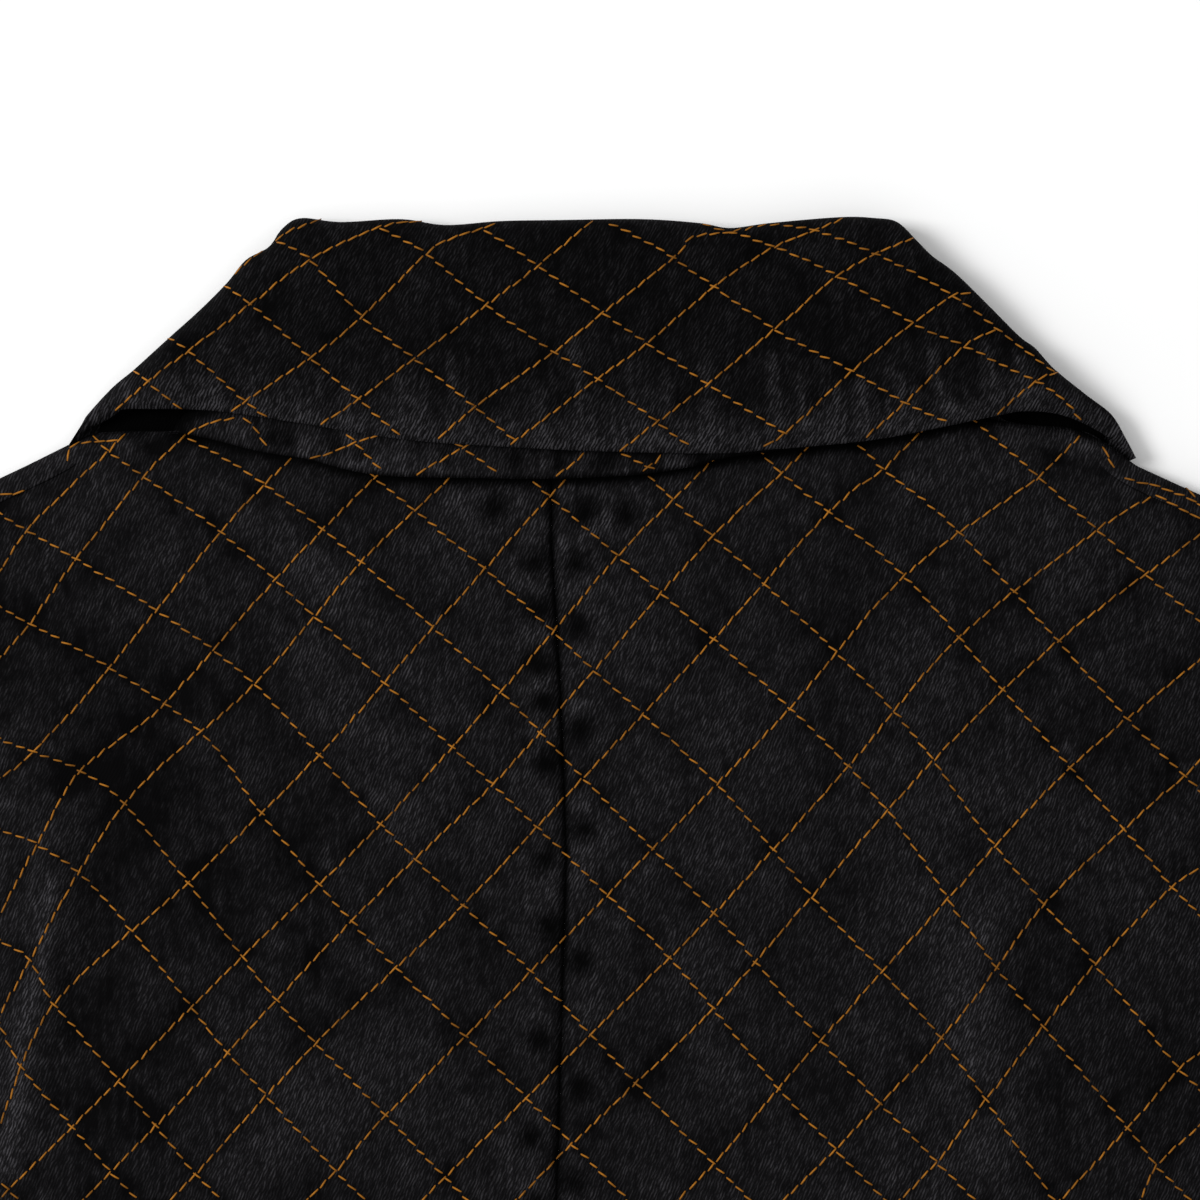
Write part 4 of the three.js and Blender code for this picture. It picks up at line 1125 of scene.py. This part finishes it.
# Roll of the back's own cloth that bunches under the leaf
neckRoll = {
    "radius": 2.0,
    "step": 1.0,
    "endLong": 26,
    "firstRows": [0, 0.01, 0.03, 0.06, 0.1],
    "sink": 1.4,
    "crush": 0.5,
    "creased": 0.25,
    "startDrop": 3.0,       # how it goes down, with painted shade, where it comes out from under the leaf
    "startReach": 6.0,
    "startShade": 1.1,
    "least": 1.5,           # its crest stands this much over the back's cloth at least
    "most": 5.5,            # and this much at most
    "lift": 0.3,
    "dentDeep": 0.8,
    "drop": 2.4,
    "reach": 6.0,           # how far it goes on under the leaf, and back under itself
    "under": 2.4,           # how far its crest stays below the leaf's top
    "turning": 8.0,         # cloth that goes round below the line where it shows
    "startPixels": [(150, 434), (166, 431), (173, 425), (180, 415), (190, 408), (206, 402), (216, 380)],
    "dentPixels": [
        (271, 438), (290, 440), (335, 446), (362, 454), (445, 458), (515, 461), (560, 464), (608, 463),
        (655, 463), (700, 459),
    ],
    "downPixels": [
        [(243, 416), (256, 430), (268, 450)],
        [(346, 433), (356, 443), (380, 468)],
        [(454, 443), (466, 450), (500, 475)],
        [(620, 453), (640, 463), (658, 471)],
    ],
    "upPixels": [
        [(186, 434), (210, 424), (239, 417)],
        [(309, 459), (330, 453), (356, 443), (378, 436)],
        [(416, 475), (462, 449), (470, 445)],
        [(554, 476), (570, 466), (586, 452)],
        [(642, 471), (655, 463), (662, 455)],
    ],
}


def rollStart(x):
    # Upper edge of the roll's left end, which comes out steeply from under the leaf
    start = fromPixels(neckRoll["startPixels"])
    return lineAt(start, x, right=999.0)


def rollSurface(x, y):
    # Top of the roll: a round lower edge that climbs to just under the leaf, sunk into the back at its ends
    low = lineAt(rollLine, x)
    first, last = rollLine[0, 0], rollLine[-1, 0]
    end = ease(np.minimum((x - first) / 8, (last - x) / neckRoll["endLong"]))
    ground = backBase(x, low - 5) + laid["cloth"] - backCloth["coverDip"] + neckRoll["lift"]
    leafY = leafAt(x)
    crest = collarSurface(x, leafY + 1.8)[0] - neckRoll["under"]
    crest = np.clip(crest, ground + neckRoll["least"], ground + neckRoll["most"])
    crest = ground - neckRoll["sink"] + (crest - ground + neckRoll["sink"]) * end
    inside = np.clip((y - low) / 2, 0, 1)
    crush = neckRoll["crush"] * softNoise(x / 6, y / 4, 81)
    crush = crush + neckRoll["creased"] * softNoise(x / 1.8, y / 9, 83)
    middle = (ground + crest) / 2
    dentSpots = fromPixels(neckRoll["dentPixels"])
    dents = sum(bell((x - dentX) / 2.2) * bell((y - dentY) / 2.6) for dentX, dentY in dentSpots)
    lift = crest - middle + (crush - neckRoll["dentDeep"] * dents) * inside
    z = middle + lift * roundOff(y - low, neckRoll["radius"])
    fromStart = toLine(x, y, fromPixels(neckRoll["startPixels"]))
    z = z - neckRoll["startDrop"] * np.clip(1 - fromStart / neckRoll["startReach"], 0, 1) ** 2
    wear = 0.3 + 0.9 * np.clip(softNoise(x / 1.7, y / 12, 85), 0, 1) + 0.5 * np.clip(crush, -0.3, 1)
    # painted shade along the roll's lower edge, under the leaf, in its dents and where it comes out from under
    # the leaf
    shadeAndLessWear = 0.5 * bell((y - low) / 0.8) + 0.6 * np.exp(-np.maximum(leafY - y, 0) / 1.6) + 0.8 * dents
    shadeAndLessWear = shadeAndLessWear + neckRoll["startShade"] * bell(fromStart / 4.6)
    return z, *limited(wear, shadeAndLessWear)


def buildNeckRoll():
    xs = np.arange(rollLine[0, 0] + 0.5, rollLine[-1, 0], neckRoll["step"])
    low = lineAt(rollLine, xs)
    top = np.minimum(leafAt(xs) + neckRoll["reach"], rollStart(xs))
    top = np.maximum(top, low + 0.3)
    share = np.concatenate([neckRoll["firstRows"], np.linspace(0.16, 1, 14)])
    gridX = np.repeat(xs[None, :], len(share), axis=0)
    gridY = low[None, :] + (top - low)[None, :] * share[:, None]
    points, faces, tones, edges = clothGrid(rollSurface, gridX, gridY)
    reach = np.minimum(neckRoll["reach"], (top - low) * 0.8)
    points, faces, tones = turnUnder(points, faces, tones, edges["low"], (0, 1), False, neckRoll["drop"], reach)
    piece = makePiece("neck_roll", points, faces, bodyDenim, tones)
    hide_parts("back_left", "back_right")
    return piece


neckRollPiece = buildNeckRoll()
print("Neck roll ready")

# Fronts: the lowest layer, with the lapels turned out under it and the bands over the shoulders
frontCloth = {
    "opening": 1.0,
    "breakY": -255.0,
    "rollTop": (80.5, 101.6),
    "gorgeX": 57.8,
    "step": 6.0,
    "columns": 44,
    "wall": 1.5,
    "low": 0.12,
    "wear": 0.25,
    "stitchShade": (0.3, 1.4),
    "hemRows": [(70, -654), (26, -640), (8, -618), (1, -594)],
    "rollYs": [-250.0, -190.0, -120.0, -60.0, -10.0],
    "rollInset": 1.6,
    "lapel": [
        (57.8, -1.5), (95, -14.3), (126, -27), (124, -52), (121, -80), (108, -120), (90, -160), (42, -224),
        (4, -254),
    ],
}
frontBase = {
    hand: solidHeights((f"front_{side}",), True, bodyArea, 8.0, 8.0) for hand, side in sideName.items()
}


def frontInnerX(y):
    # Front edge and roll line, as distance from the middle
    breakY, (topX, topY) = frontCloth["breakY"], frontCloth["rollTop"]
    roll = frontCloth["opening"] + (topX - frontCloth["opening"]) * (y - breakY) / (topY - breakY)
    neck = frontCloth["gorgeX"] + (laid["neckX"] - frontCloth["gorgeX"]) * y / laid["neckY"]
    hem = np.array(frontCloth["hemRows"], float)
    corner = np.interp(y, hem[:, 1], hem[:, 0])
    return np.where(y > 0, neck, np.where(y > breakY, roll, corner))


def frontSurface(hand):
    def surface(x, y):
        z = np.maximum(frontBase[hand](x, y), 0.0) + frontCloth["low"]
        down, up = gapsTo(bodyLines, -x, y)
        return z, np.full(np.shape(x), frontCloth["wear"]), stitchShade(down, up, *frontCloth["stitchShade"])
    return surface


def buildFront(hand):
    ys = gradedSteps([(laid["hemY"], 1), (laid["neckY"], frontCloth["step"])])
    columns = frontCloth["columns"]
    share = 0.5 - 0.5 * np.cos(np.linspace(0, math.pi, columns))
    inner = frontInnerX(ys)
    outer = np.maximum(halfWidth(ys, hand) - 0.3, inner + 1)
    gridX = (inner[:, None] + (outer - inner)[:, None] * share[None, :]) * hand
    gridY = np.repeat(ys[:, None], columns, axis=1)
    points, faces, tones, _ = clothGrid(frontSurface(hand), gridX, gridY, hand > 0)
    name = sideName[hand]
    piece = makePiece(f"front_cloth_{name}", points, faces, bodyDenim, tones)
    thicken(piece, frontCloth["wall"], -1)
    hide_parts(f"front_{name}")
    lapel = softLine(frontCloth["lapel"], 5)
    rollYs = np.array(frontCloth["rollYs"])
    roll = np.column_stack([frontInnerX(rollYs) + frontCloth["rollInset"], rollYs])
    outline = np.vstack([lapel, roll]) * (hand, 1)
    lapel = flatPiece(f"lapel_{name}", outline, 0.1, frontCloth["wall"], bodyDenim, f"front_{name}")
    return piece, lapel, outline


frontPieces = [buildFront(-1), buildFront(1)]

# Bands of the fronts that come over the shoulders
shoulderBand = {
    "wide": 6.3,
    "step": 1.2,
    "rise": 0.85,           # how far it stands on the back's cloth
    "sink": -0.5,           # and how far it sinks in where it isn't seen
    "shownFrom": {-1: 137.0, 1: 133.0},
    "from": 106.0,
    "to": 228.5,
    "low": 0.2,
    "underRings": [(3.0, 0.0), (0.7, 0.05), (0.15, 0.4), (0.0, 0.75)],      # how far in, share of height
    "topRings": [0.15, 0.5, 1.0, 1.6, 2.3, 3.1, 4.0, 4.8, 5.6, 6.0, 6.2, 6.3],
    "turned": 1.7,          # its cut is wider than what shows by the cloth that turns under
}


def bandPath(hand):
    # Evenly spaced places along the shoulder's edge, with the direction that leads in from it
    line = softLine(np.array(shoulderRows[hand], float), 8)
    line = line[(line[:, 0] >= shoulderBand["from"]) & (line[:, 0] <= shoulderBand["to"])]
    along = np.concatenate([[0], np.cumsum(np.hypot(*np.diff(line, axis=0).T))])
    at = np.arange(0, along[-1], shoulderBand["step"])
    x, y = np.interp(at, along, line[:, 0]), np.interp(at, along, line[:, 1])
    dx, dy = np.gradient(x), np.gradient(y)
    size = np.hypot(dx, dy)
    return x, y, dy / size, -dx / size


def bandLift(x, hand):
    shown = ease((np.abs(x) - shoulderBand["shownFrom"][hand]) / 9)
    return shoulderBand["sink"] + (shoulderBand["rise"] - shoulderBand["sink"]) * shown


def buildShoulderBand(hand):
    # The front's cloth goes over the shoulder and is sewn to the back a little way in
    x, y, inX, inY = bandPath(hand)
    flip = 1 if np.mean(inY) < 0 else -1
    inX, inY = inX * flip, inY * flip
    lift = bandLift(x, hand)
    wide = shoulderBand["wide"]
    rings = []
    for depth, share in shoulderBand["underRings"]:
        edgeZ = backSurface(x * hand, y - 0.05)[0] + lift
        z = shoulderBand["low"] + (edgeZ - shoulderBand["low"]) * share
        rings.append(np.stack([(x + inX * depth) * hand, y + inY * depth, z], axis=1))
    for depth in shoulderBand["topRings"]:
        spotX, spotY = (x + inX * depth) * hand, y + inY * depth
        ripple = 0.25 * softNoise(x / 3.5, x * 0 + depth / 9, 91 + hand)
        edge = np.clip((depth - wide + 0.7) / 0.7, 0, 1)
        z = backSurface(spotX, spotY)[0] + (lift + ripple) * math.sqrt(1 - edge ** 2) - 0.4 * edge
        rings.append(np.stack([spotX, spotY, z], axis=1))
    points = np.vstack(rings)
    columns, count = len(x), len(rings)
    wear = np.tile(0.25 + 0.5 * np.clip(softNoise(x / 1.6, x * 0, 95 + hand), 0, 1), count)
    wear[(count - 4) * columns:] += 0.15
    # painted shade along the band's inner edge, where it meets the back
    shadeAndLessWear = np.zeros(len(points))
    shadeAndLessWear[(count - 2) * columns:] = 1.0
    name = sideName[hand]
    tones = {"wear": np.clip(wear, 0, 1), "shadeAndLessWear": shadeAndLessWear}
    faces = gridFaces(count, columns, flip=hand > 0)
    piece = makePiece(f"shoulder_band_{name}", points, faces, bodyDenim, tones)
    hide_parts(f"front_{name}")
    return piece


bandPieces = [buildShoulderBand(-1), buildShoulderBand(1)]
print("Fronts ready")

# Sleeves: flattened tubes, an upper and a lower cloth each, spread a little from the body
sleeve = {
    "long": 620.0,
    "cuff": 140.0,
    "rows": 230,
    "columns": 64,
    "underRows": 90,
    "underColumns": 24,
    "underLow": 0.12,
    "middleX": 330.0,
    "otherPlace": 300.0,    # where the right sleeve takes its unevenness from, away from the left one's
    "stitchShade": (0.25, 1.0),
    "underStitchShade": (0.3, 1.4),
    "edgeDrop": 0.8,
    "edgeReach": 1.2,
    "cuffDrop": 1.3,
    "cuffReach": 14.0,
    "edgeRound": 8.0,
    "edgeZ": 2.3,
    "outer": [(0, 0), (0.08, 16), (0.25, 30), (0.5, 34), (0.75, 20), (1, 0)],
    "inner": [(0, 0), (0.35, 9), (0.7, 7), (1, 0)],
    "creases": [            # how far down the arm, lean, height, reach
        (150, 0.5, -1.0, 16),
        (285, -0.35, -1.3, 15),
        (318, -0.1, 0.8, 12),
        (352, 0.4, -1.1, 14),
        (500, -0.3, -0.8, 20),
    ],
}
armX, armY = math.sin(laid["sleeveTurn"]), -math.cos(laid["sleeveTurn"])
cuffOuter = np.array([tipX + armX * sleeve["long"], tipY + armY * sleeve["long"]])
cuffInner = cuffOuter + np.array([armY, -armX]) * sleeve["cuff"]
sleeveOuter = softLine([
    (tipX + armX * sleeve["long"] * a - armY * out, tipY + armY * sleeve["long"] * a + armX * out)
    for a, out in sleeve["outer"]
])
sleeveInner = softLine([
    (underarmX + (cuffInner[0] - underarmX) * a + out, underarmY + (cuffInner[1] - underarmY) * a)
    for a, out in sleeve["inner"]
])


def alongSleeve(x, y):
    # Place on the right sleeve: how far down the arm and how far out from its upper corner
    return (x - tipX) * armX + (y - tipY) * armY, (x - tipX) * -armY + (y - tipY) * armX


def fromSleeve(along, across):
    # And back again
    return tipX + along * armX - across * armY, tipY + along * armY + across * armX


def sleeveGrid(rows, columns):
    # Rows of points straight across the sleeve, from the shoulder's corner to the cuff
    inner = np.vstack([armhole, sleeveInner[1:]])
    innerAlong, innerAcross = alongSleeve(inner[:, 0], inner[:, 1])
    outerAlong, outerAcross = alongSleeve(sleeveOuter[:, 0], sleeveOuter[:, 1])
    along = np.linspace(0.6, sleeve["long"], rows)
    low = np.interp(along, innerAlong, innerAcross) + 0.3
    high = np.interp(along, outerAlong, outerAcross)
    share = 0.5 - 0.5 * np.cos(np.linspace(0, math.pi, columns))
    across = low[:, None] + (high - low)[:, None] * share[None, :]
    along = np.repeat(along[:, None], columns, axis=1)
    return fromSleeve(along, across)


def sleeveGaps(x, y):
    # Distance to the nearest stitch line of each direction, square to the sleeve
    along, across = alongSleeve(x, y)
    pitch = laid["square"] / math.sqrt(2)
    gaps = []
    for place in ((along + across) / math.sqrt(2), (along - across) / math.sqrt(2)):
        gaps.append(np.abs((place + pitch / 2) % pitch - pitch / 2))
    return *gaps, along


sleeveArea = (-446, 446, -630, 4)
sleeveBase = {
    hand: solidHeights((f"top_sleeve_{side}",), True, sleeveArea, 8.0, 12.0) for hand, side in sideName.items()
}


def sleeveSurface(hand):
    def surface(x, y):
        right = x * hand
        down, up, along = sleeveGaps(right, y)
        relief, puff, gathers = quilting(right + sleeve["otherPlace"] * (hand > 0), y, down, up, sleeveQuilt)
        for place, lean, height, reach in sleeve["creases"]:
            slant = (right - sleeve["middleX"]) * lean * hand
            relief = relief + height * bell((along - place + slant) / reach)
        relief = relief + 0.5 * softNoise(right / 26, y / 40, 37 + hand)
        z = sleeveBase[hand](x, y) + laid["cloth"] + relief
        edgeGap = np.minimum(toLine(right, y, sleeveOuter), toLine(right, y, sleeveInner))
        z = sleeve["edgeZ"] + (z - sleeve["edgeZ"]) * roundOff(edgeGap, sleeve["edgeRound"])
        z = z - backCloth["armholeDip"] * bell(toLine(right, y, armhole) / 3.0)
        wear = 0.16 + 0.16 * puff + 0.35 * gathers + 0.25 * np.exp(-edgeGap / 3)
        return z, *limited(wear, stitchShade(down, up, *sleeve["stitchShade"]))
    return surface


def buildSleeve(hand):
    name, flip = sideName[hand], hand > 0
    rows, columns = sleeve["rows"], sleeve["columns"]
    right, y = sleeveGrid(rows, columns)
    points, faces, tones, edges = clothGrid(sleeveSurface(hand), right * hand, y, flip)
    # the cuff and both long edges turn under
    toShoulder, toBody = (-armX * hand, -armY), (armY * hand, -armX)
    fromBody = (-toBody[0], -toBody[1])
    fromCorner = np.linspace(0, sleeve["cuff"], columns)
    fromCorner = np.minimum(fromCorner, fromCorner[::-1])
    cuffReach = np.minimum(sleeve["cuffReach"], 0.5 + fromCorner * 1.5)
    for line, inward, drop, reach in (
        (edges["high"][::-1], toShoulder, sleeve["cuffDrop"], cuffReach),
        (edges["last"], toBody, sleeve["edgeDrop"], sleeve["edgeReach"]),
        (edges["first"][::-1], fromBody, sleeve["edgeDrop"], sleeve["edgeReach"]),
    ):
        points, faces, tones = turnUnder(points, faces, tones, line, inward, flip, drop, reach)
    top = makePiece(f"top_sleeve_cloth_{name}", points, faces, bodyDenim, tones)
    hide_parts(f"top_sleeve_{name}")
    rows, columns = sleeve["underRows"], sleeve["underColumns"]
    right, y = sleeveGrid(rows, columns)
    down, up, _ = sleeveGaps(right, y)
    points = gridPoints(right * hand, y, np.full(y.shape, sleeve["underLow"]))
    tones = tonesOf(np.full(y.shape, frontCloth["wear"]), stitchShade(down, up, *sleeve["underStitchShade"]))
    faces = gridFaces(rows, columns, flip=not flip)
    under = makePiece(f"under_sleeve_cloth_{name}", points, faces, bodyDenim, tones)
    thicken(under, frontCloth["wall"], -1)
    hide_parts(f"under_sleeve_{name}")
    return top, under


sleevePieces = [buildSleeve(-1), buildSleeve(1)]
print("Sleeves ready")

# Stitches: each is a small arched length of thread that dives into the cloth at both ends
stitchLook = {
    "pitch": 3.5,
    "wide": 0.54,
    "tall": 0.40,
    "lengths": {"down": 3.0, "up": 3.4},
    "tilts": {"down": math.radians(11), "up": math.radians(6)},
    "loose": 0.05,
    "drift": 0.08,
    "beyond": 700,
    "fineX": 172.0,
    "fineY": -168.0,
}
# Sections of one stitch: (place along it, thickness, rise over the cloth)
fineStitch = {
    "sides": 5,
    "tipShade": 1.0,
    "sections": [(-0.5, 0.4, -0.22), (-0.38, 0.88, 0.1), (0, 1, 0.2), (0.38, 0.88, 0.1), (0.5, 0.4, -0.22)],
}
plainStitch = {
    "sides": 4,
    "tipShade": 0.25,
    "sections": [(-0.5, 0.8, 0.0), (0, 1.1, 0.42), (0.5, 0.8, 0.0)],
}


def stitchPlaces(lines, kind, keep, beyond=0):
    # Middle, direction and length of every stitch along some lines, run on straight beyond their ends
    places = []
    slope = -1 if kind == "down" else 1
    for line in lines:
        path = np.array(line, float)
        if beyond:
            further = np.array([beyond, beyond * slope])
            path = np.vstack([path[0] - further, path, path[-1] + further])
        steps = np.hypot(*np.diff(path, axis=0).T)
        along = np.concatenate([[0], np.cumsum(steps)])
        at = np.arange(stitchLook["pitch"] / 2, along[-1], stitchLook["pitch"])
        x, y = (np.interp(at, along, side) for side in path.T)
        dx, dy = (np.interp(at + 0.5, along, side) - np.interp(at - 0.5, along, side) for side in path.T)
        angle = np.arctan2(dy, dx) + stitchLook["tilts"][kind]
        for i in np.nonzero(keep(x, y))[0]:
            places.append((x[i], y[i], angle[i], stitchLook["lengths"][kind]))
    return places


def stitchMesh(places, surface, shape, start):
    # Points and faces of many stitches of one shape, numbered from start
    x, y, angle, length = places.T
    count, sides, sections = len(places), shape["sides"], shape["sections"]
    cos, sin = np.cos(angle), np.sin(angle)
    spots, tips = [], []
    for place, size, up in sections:
        # painted shade on each section, most at the ends where the thread dives into the cloth
        tips += [shape["tipShade"] * (2 * abs(place)) ** 4] * sides
        cx, cy = x + cos * length * place, y + sin * length * place
        cz = surface(cx, cy)[0] + up
        for k in range(sides):
            turn = 2 * math.pi * (k + 0.5) / sides
            out = stitchLook["wide"] / 2 * size * math.cos(turn)
            lift = stitchLook["tall"] / 2 * size * math.sin(turn)
            spots.append(np.stack([cx - sin * out, cy + cos * out, cz + lift], axis=1))
    points = np.array(spots).transpose(1, 0, 2).reshape(-1, 3)
    pattern = []
    for ring in range(len(sections) - 1):
        for k in range(sides):
            a, b = ring * sides + k, ring * sides + (k + 1) % sides
            pattern.append((a, b, b + sides, a + sides))
    last = (len(sections) - 1) * sides
    pattern += [tuple(range(sides))[::-1], tuple(last + k for k in range(sides))]
    each = len(sections) * sides
    faces = [tuple(v + start + n * each for v in face) for n in range(count) for face in pattern]
    return points, faces, tips * count


def makeStitches(name, places, surface, seed):
    # All the stitches of one piece as one mesh, finer where the view shows them
    rng = np.random.default_rng(seed)
    places = np.array(places)
    count = len(places)
    places[:, 3] *= rng.uniform(0.9, 1.08, count)
    places[:, 2] += rng.normal(0, stitchLook["loose"], count)
    places[:, :2] += rng.normal(0, stitchLook["drift"], (count, 2))
    shown = (np.abs(places[:, 0]) < stitchLook["fineX"]) & (places[:, 1] > stitchLook["fineY"])
    points, faces, tips = np.zeros((0, 3)), [], []
    for chosen, shape in ((shown, fineStitch), (~shown, plainStitch)):
        if chosen.any():
            more, moreFaces, moreTips = stitchMesh(places[chosen], surface, shape, len(points))
            points, faces, tips = np.vstack([points, more]), faces + moreFaces, tips + moreTips
    piece = makePiece(name, points, faces, mustardThread, {"tipShade": tips})
    print("Stitches", name, count)
    return piece


def onBack(hand):
    # Where the thread of one half of the back shows
    def keep(x, y):
        inside = (np.abs(x) < widthAt(x, y) - 3) & (y > laid["hemY"] + 3) & (y < leafAt(x) + 4)
        banded = np.abs(x) > shoulderBand["shownFrom"][hand]
        inside &= fromShoulders(x, y) > np.where(banded, shoulderBand["wide"] + 0.8, 0.6)
        return inside & ((x - seamX(y)) * hand > 0)
    return keep


def onCollar(x, y):
    topY = lineAt(collarTopLine, x, left=-999, right=-999)
    return (y < topY) & (y > leafAt(x) + 0.7) & (toLine(x, y, collarTopLine) > 0.5)


def onRoll(x, y):
    return (y > lineAt(rollLine, x) + 0.4) & (y < leafAt(x) + 3)


def anywhere(x, y):
    return np.ones(np.shape(x), bool)


def readLines(rows):
    return [softLine(fromPixels(row)) for row in rows]


# Thread that shows on the shoulders, where the quilting lines bend over into the bands
shoulderThread = {
    "leftPixels": [
        [(66, 462), (69, 449), (76, 443), (104, 441), (118, 440)],
        [(-14, 489), (4, 494), (22, 491)],
    ],
    "rightPixels": [
        [(1104, 446), (1115, 468)],
        [(1124, 477), (1140, 482), (1156, 485), (1169, 490), (1185, 496), (1204, 506)],
        [(1190, 487), (1200, 503)],
        [(1156, 494), (1176, 506), (1204, 520)],
    ],
    "over": 0.35,
}


def bandTop(hand):
    def surface(x, y):
        z = backSurface(x, y)[0]
        shown = fromShoulders(x, y) < shoulderBand["wide"]
        return (z + np.maximum(bandLift(x, hand), 0) * shown + shoulderThread["over"] * 0.5,)
    return surface


def sleeveStitches(hand):
    # Stitch places over one sleeve, both directions
    outline = np.vstack([armhole[::-1], sleeveOuter, sleeveInner[::-1]])
    pitch = laid["square"] / math.sqrt(2)
    run = np.arange(-500, 500, stitchLook["pitch"])
    places = []
    for kind, turn in (("down", 1), ("up", -1)):
        for number in range(-2, 34):
            offset = number * pitch
            along, across = (offset + run) / math.sqrt(2), (offset - run) * turn / math.sqrt(2)
            x, y = fromSleeve(along, across)
            angle = math.atan2(y[1] - y[0], x[1] - x[0])
            good = insideOutline(x, y, outline)
            good &= (toLine(x, y, sleeveOuter) > 3) & (toLine(x, y, sleeveInner) > 3)
            good &= toLine(x, y, armhole) > 2
            turned = angle if hand > 0 else math.pi - angle
            turned += stitchLook["tilts"][kind]
            length = stitchLook["lengths"][kind]
            places += [(spotX * hand, spotY, turned, length) for spotX, spotY in zip(x[good], y[good])]
    return places


def insideOutline(x, y, outline):
    # Which places lie inside a closed outline
    inside = np.zeros(np.shape(x), bool)
    for (ax, ay), (bx, by) in zip(outline, np.roll(outline, -1, axis=0)):
        crosses = (ay > y) != (by > y)
        rise = by - ay if by != ay else 1e-9
        inside ^= crosses & (x < (bx - ax) * (y - ay) / rise + ax)
    return inside


def bothWays(downLines, upLines, keep, beyond=0):
    return stitchPlaces(downLines, "down", keep, beyond) + stitchPlaces(upLines, "up", keep, beyond)


# All the thread, one mesh for each piece of cloth that it is sewn through
for hand, title in sideName.items():
    found = bothWays(bodyLines[0]["lines"], bodyLines[1]["lines"], onBack(hand), stitchLook["beyond"])
    makeStitches(f"back_quilting_{title}", found, backSurface, 61 + hand)
    found = stitchPlaces(readLines(shoulderThread[f"{title}Pixels"]), "up", anywhere)
    makeStitches(f"band_thread_{title}", found, bandTop(hand), 65 + hand)
    found = sleeveStitches(hand)
    surface = sleeveSurface(hand)
    makeStitches(f"sleeve_quilting_{title}", found, surface, 75 + hand)
found = bothWays(collarLines[0]["read"], collarLines[1]["read"], onCollar)
makeStitches("collar_quilting", found, collarSurface, 71)
found = bothWays(readLines(neckRoll["downPixels"]), readLines(neckRoll["upPixels"]), onRoll)
makeStitches("roll_quilting", found, rollSurface, 81)


for number, (hand, title) in enumerate(sideName.items()):
    x, y, inX, inY = bandPath(hand)

# Floor, light and camera
bpy.ops.mesh.primitive_plane_add(size=6, location=(0, 0, 0))
floor = bpy.context.object
floor.name = "floor"
floorPaint, _, floorShader = newMaterial("floorPaint")
floorShader.inputs["Base Color"].default_value = (0.9, 0.9, 0.9, 1)
floorShader.inputs["Roughness"].default_value = 0.9
floor.data.materials.append(floorPaint)

studio = {
    "world": 0.69,
    "keyPower": 27.0,
    "keySize": 0.7,
    "keyAt": (-1.35, 0.55, 1.2),
    "lens": 110.0,
    "sensor": 36,
    "viewWide": 0.320,
    "focusZ": 0.009,
}
world = bpy.data.worlds.new("softRoom")
bpy.context.scene.world = world
world.use_nodes = True
sky = world.node_tree.nodes["Background"]
sky.inputs["Color"].default_value = (1, 1, 1, 1)
sky.inputs["Strength"].default_value = studio["world"]


def softLight(name, at, power, size):
    lamp = bpy.data.lights.new(name, "AREA")
    lamp.energy = power
    lamp.size = size
    holder = bpy.data.objects.new(name, lamp)
    holder.location = at
    target = Vector((0, laid["middleY"] / 1000, 0))
    holder.rotation_euler = (target - Vector(at)).to_track_quat("-Z", "Y").to_euler()
    bpy.context.scene.collection.objects.link(holder)


softLight("windowLight", studio["keyAt"], studio["keyPower"], studio["keySize"])

lens = bpy.data.cameras.new("viewFromAbove")
lens.lens = studio["lens"]
lens.sensor_width = studio["sensor"]
lens.clip_start = 0.01
height = studio["viewWide"] * studio["lens"] / studio["sensor"] + studio["focusZ"]
camera = bpy.data.objects.new("viewFromAbove", lens)
camera.location = (0, laid["middleY"] / 1000, height)
camera.rotation_euler = (0, 0, 0)
bpy.context.scene.collection.objects.link(camera)
bpy.context.scene.camera = camera
bpy.context.scene.view_settings.view_transform = "Standard"
print("Studio ready")
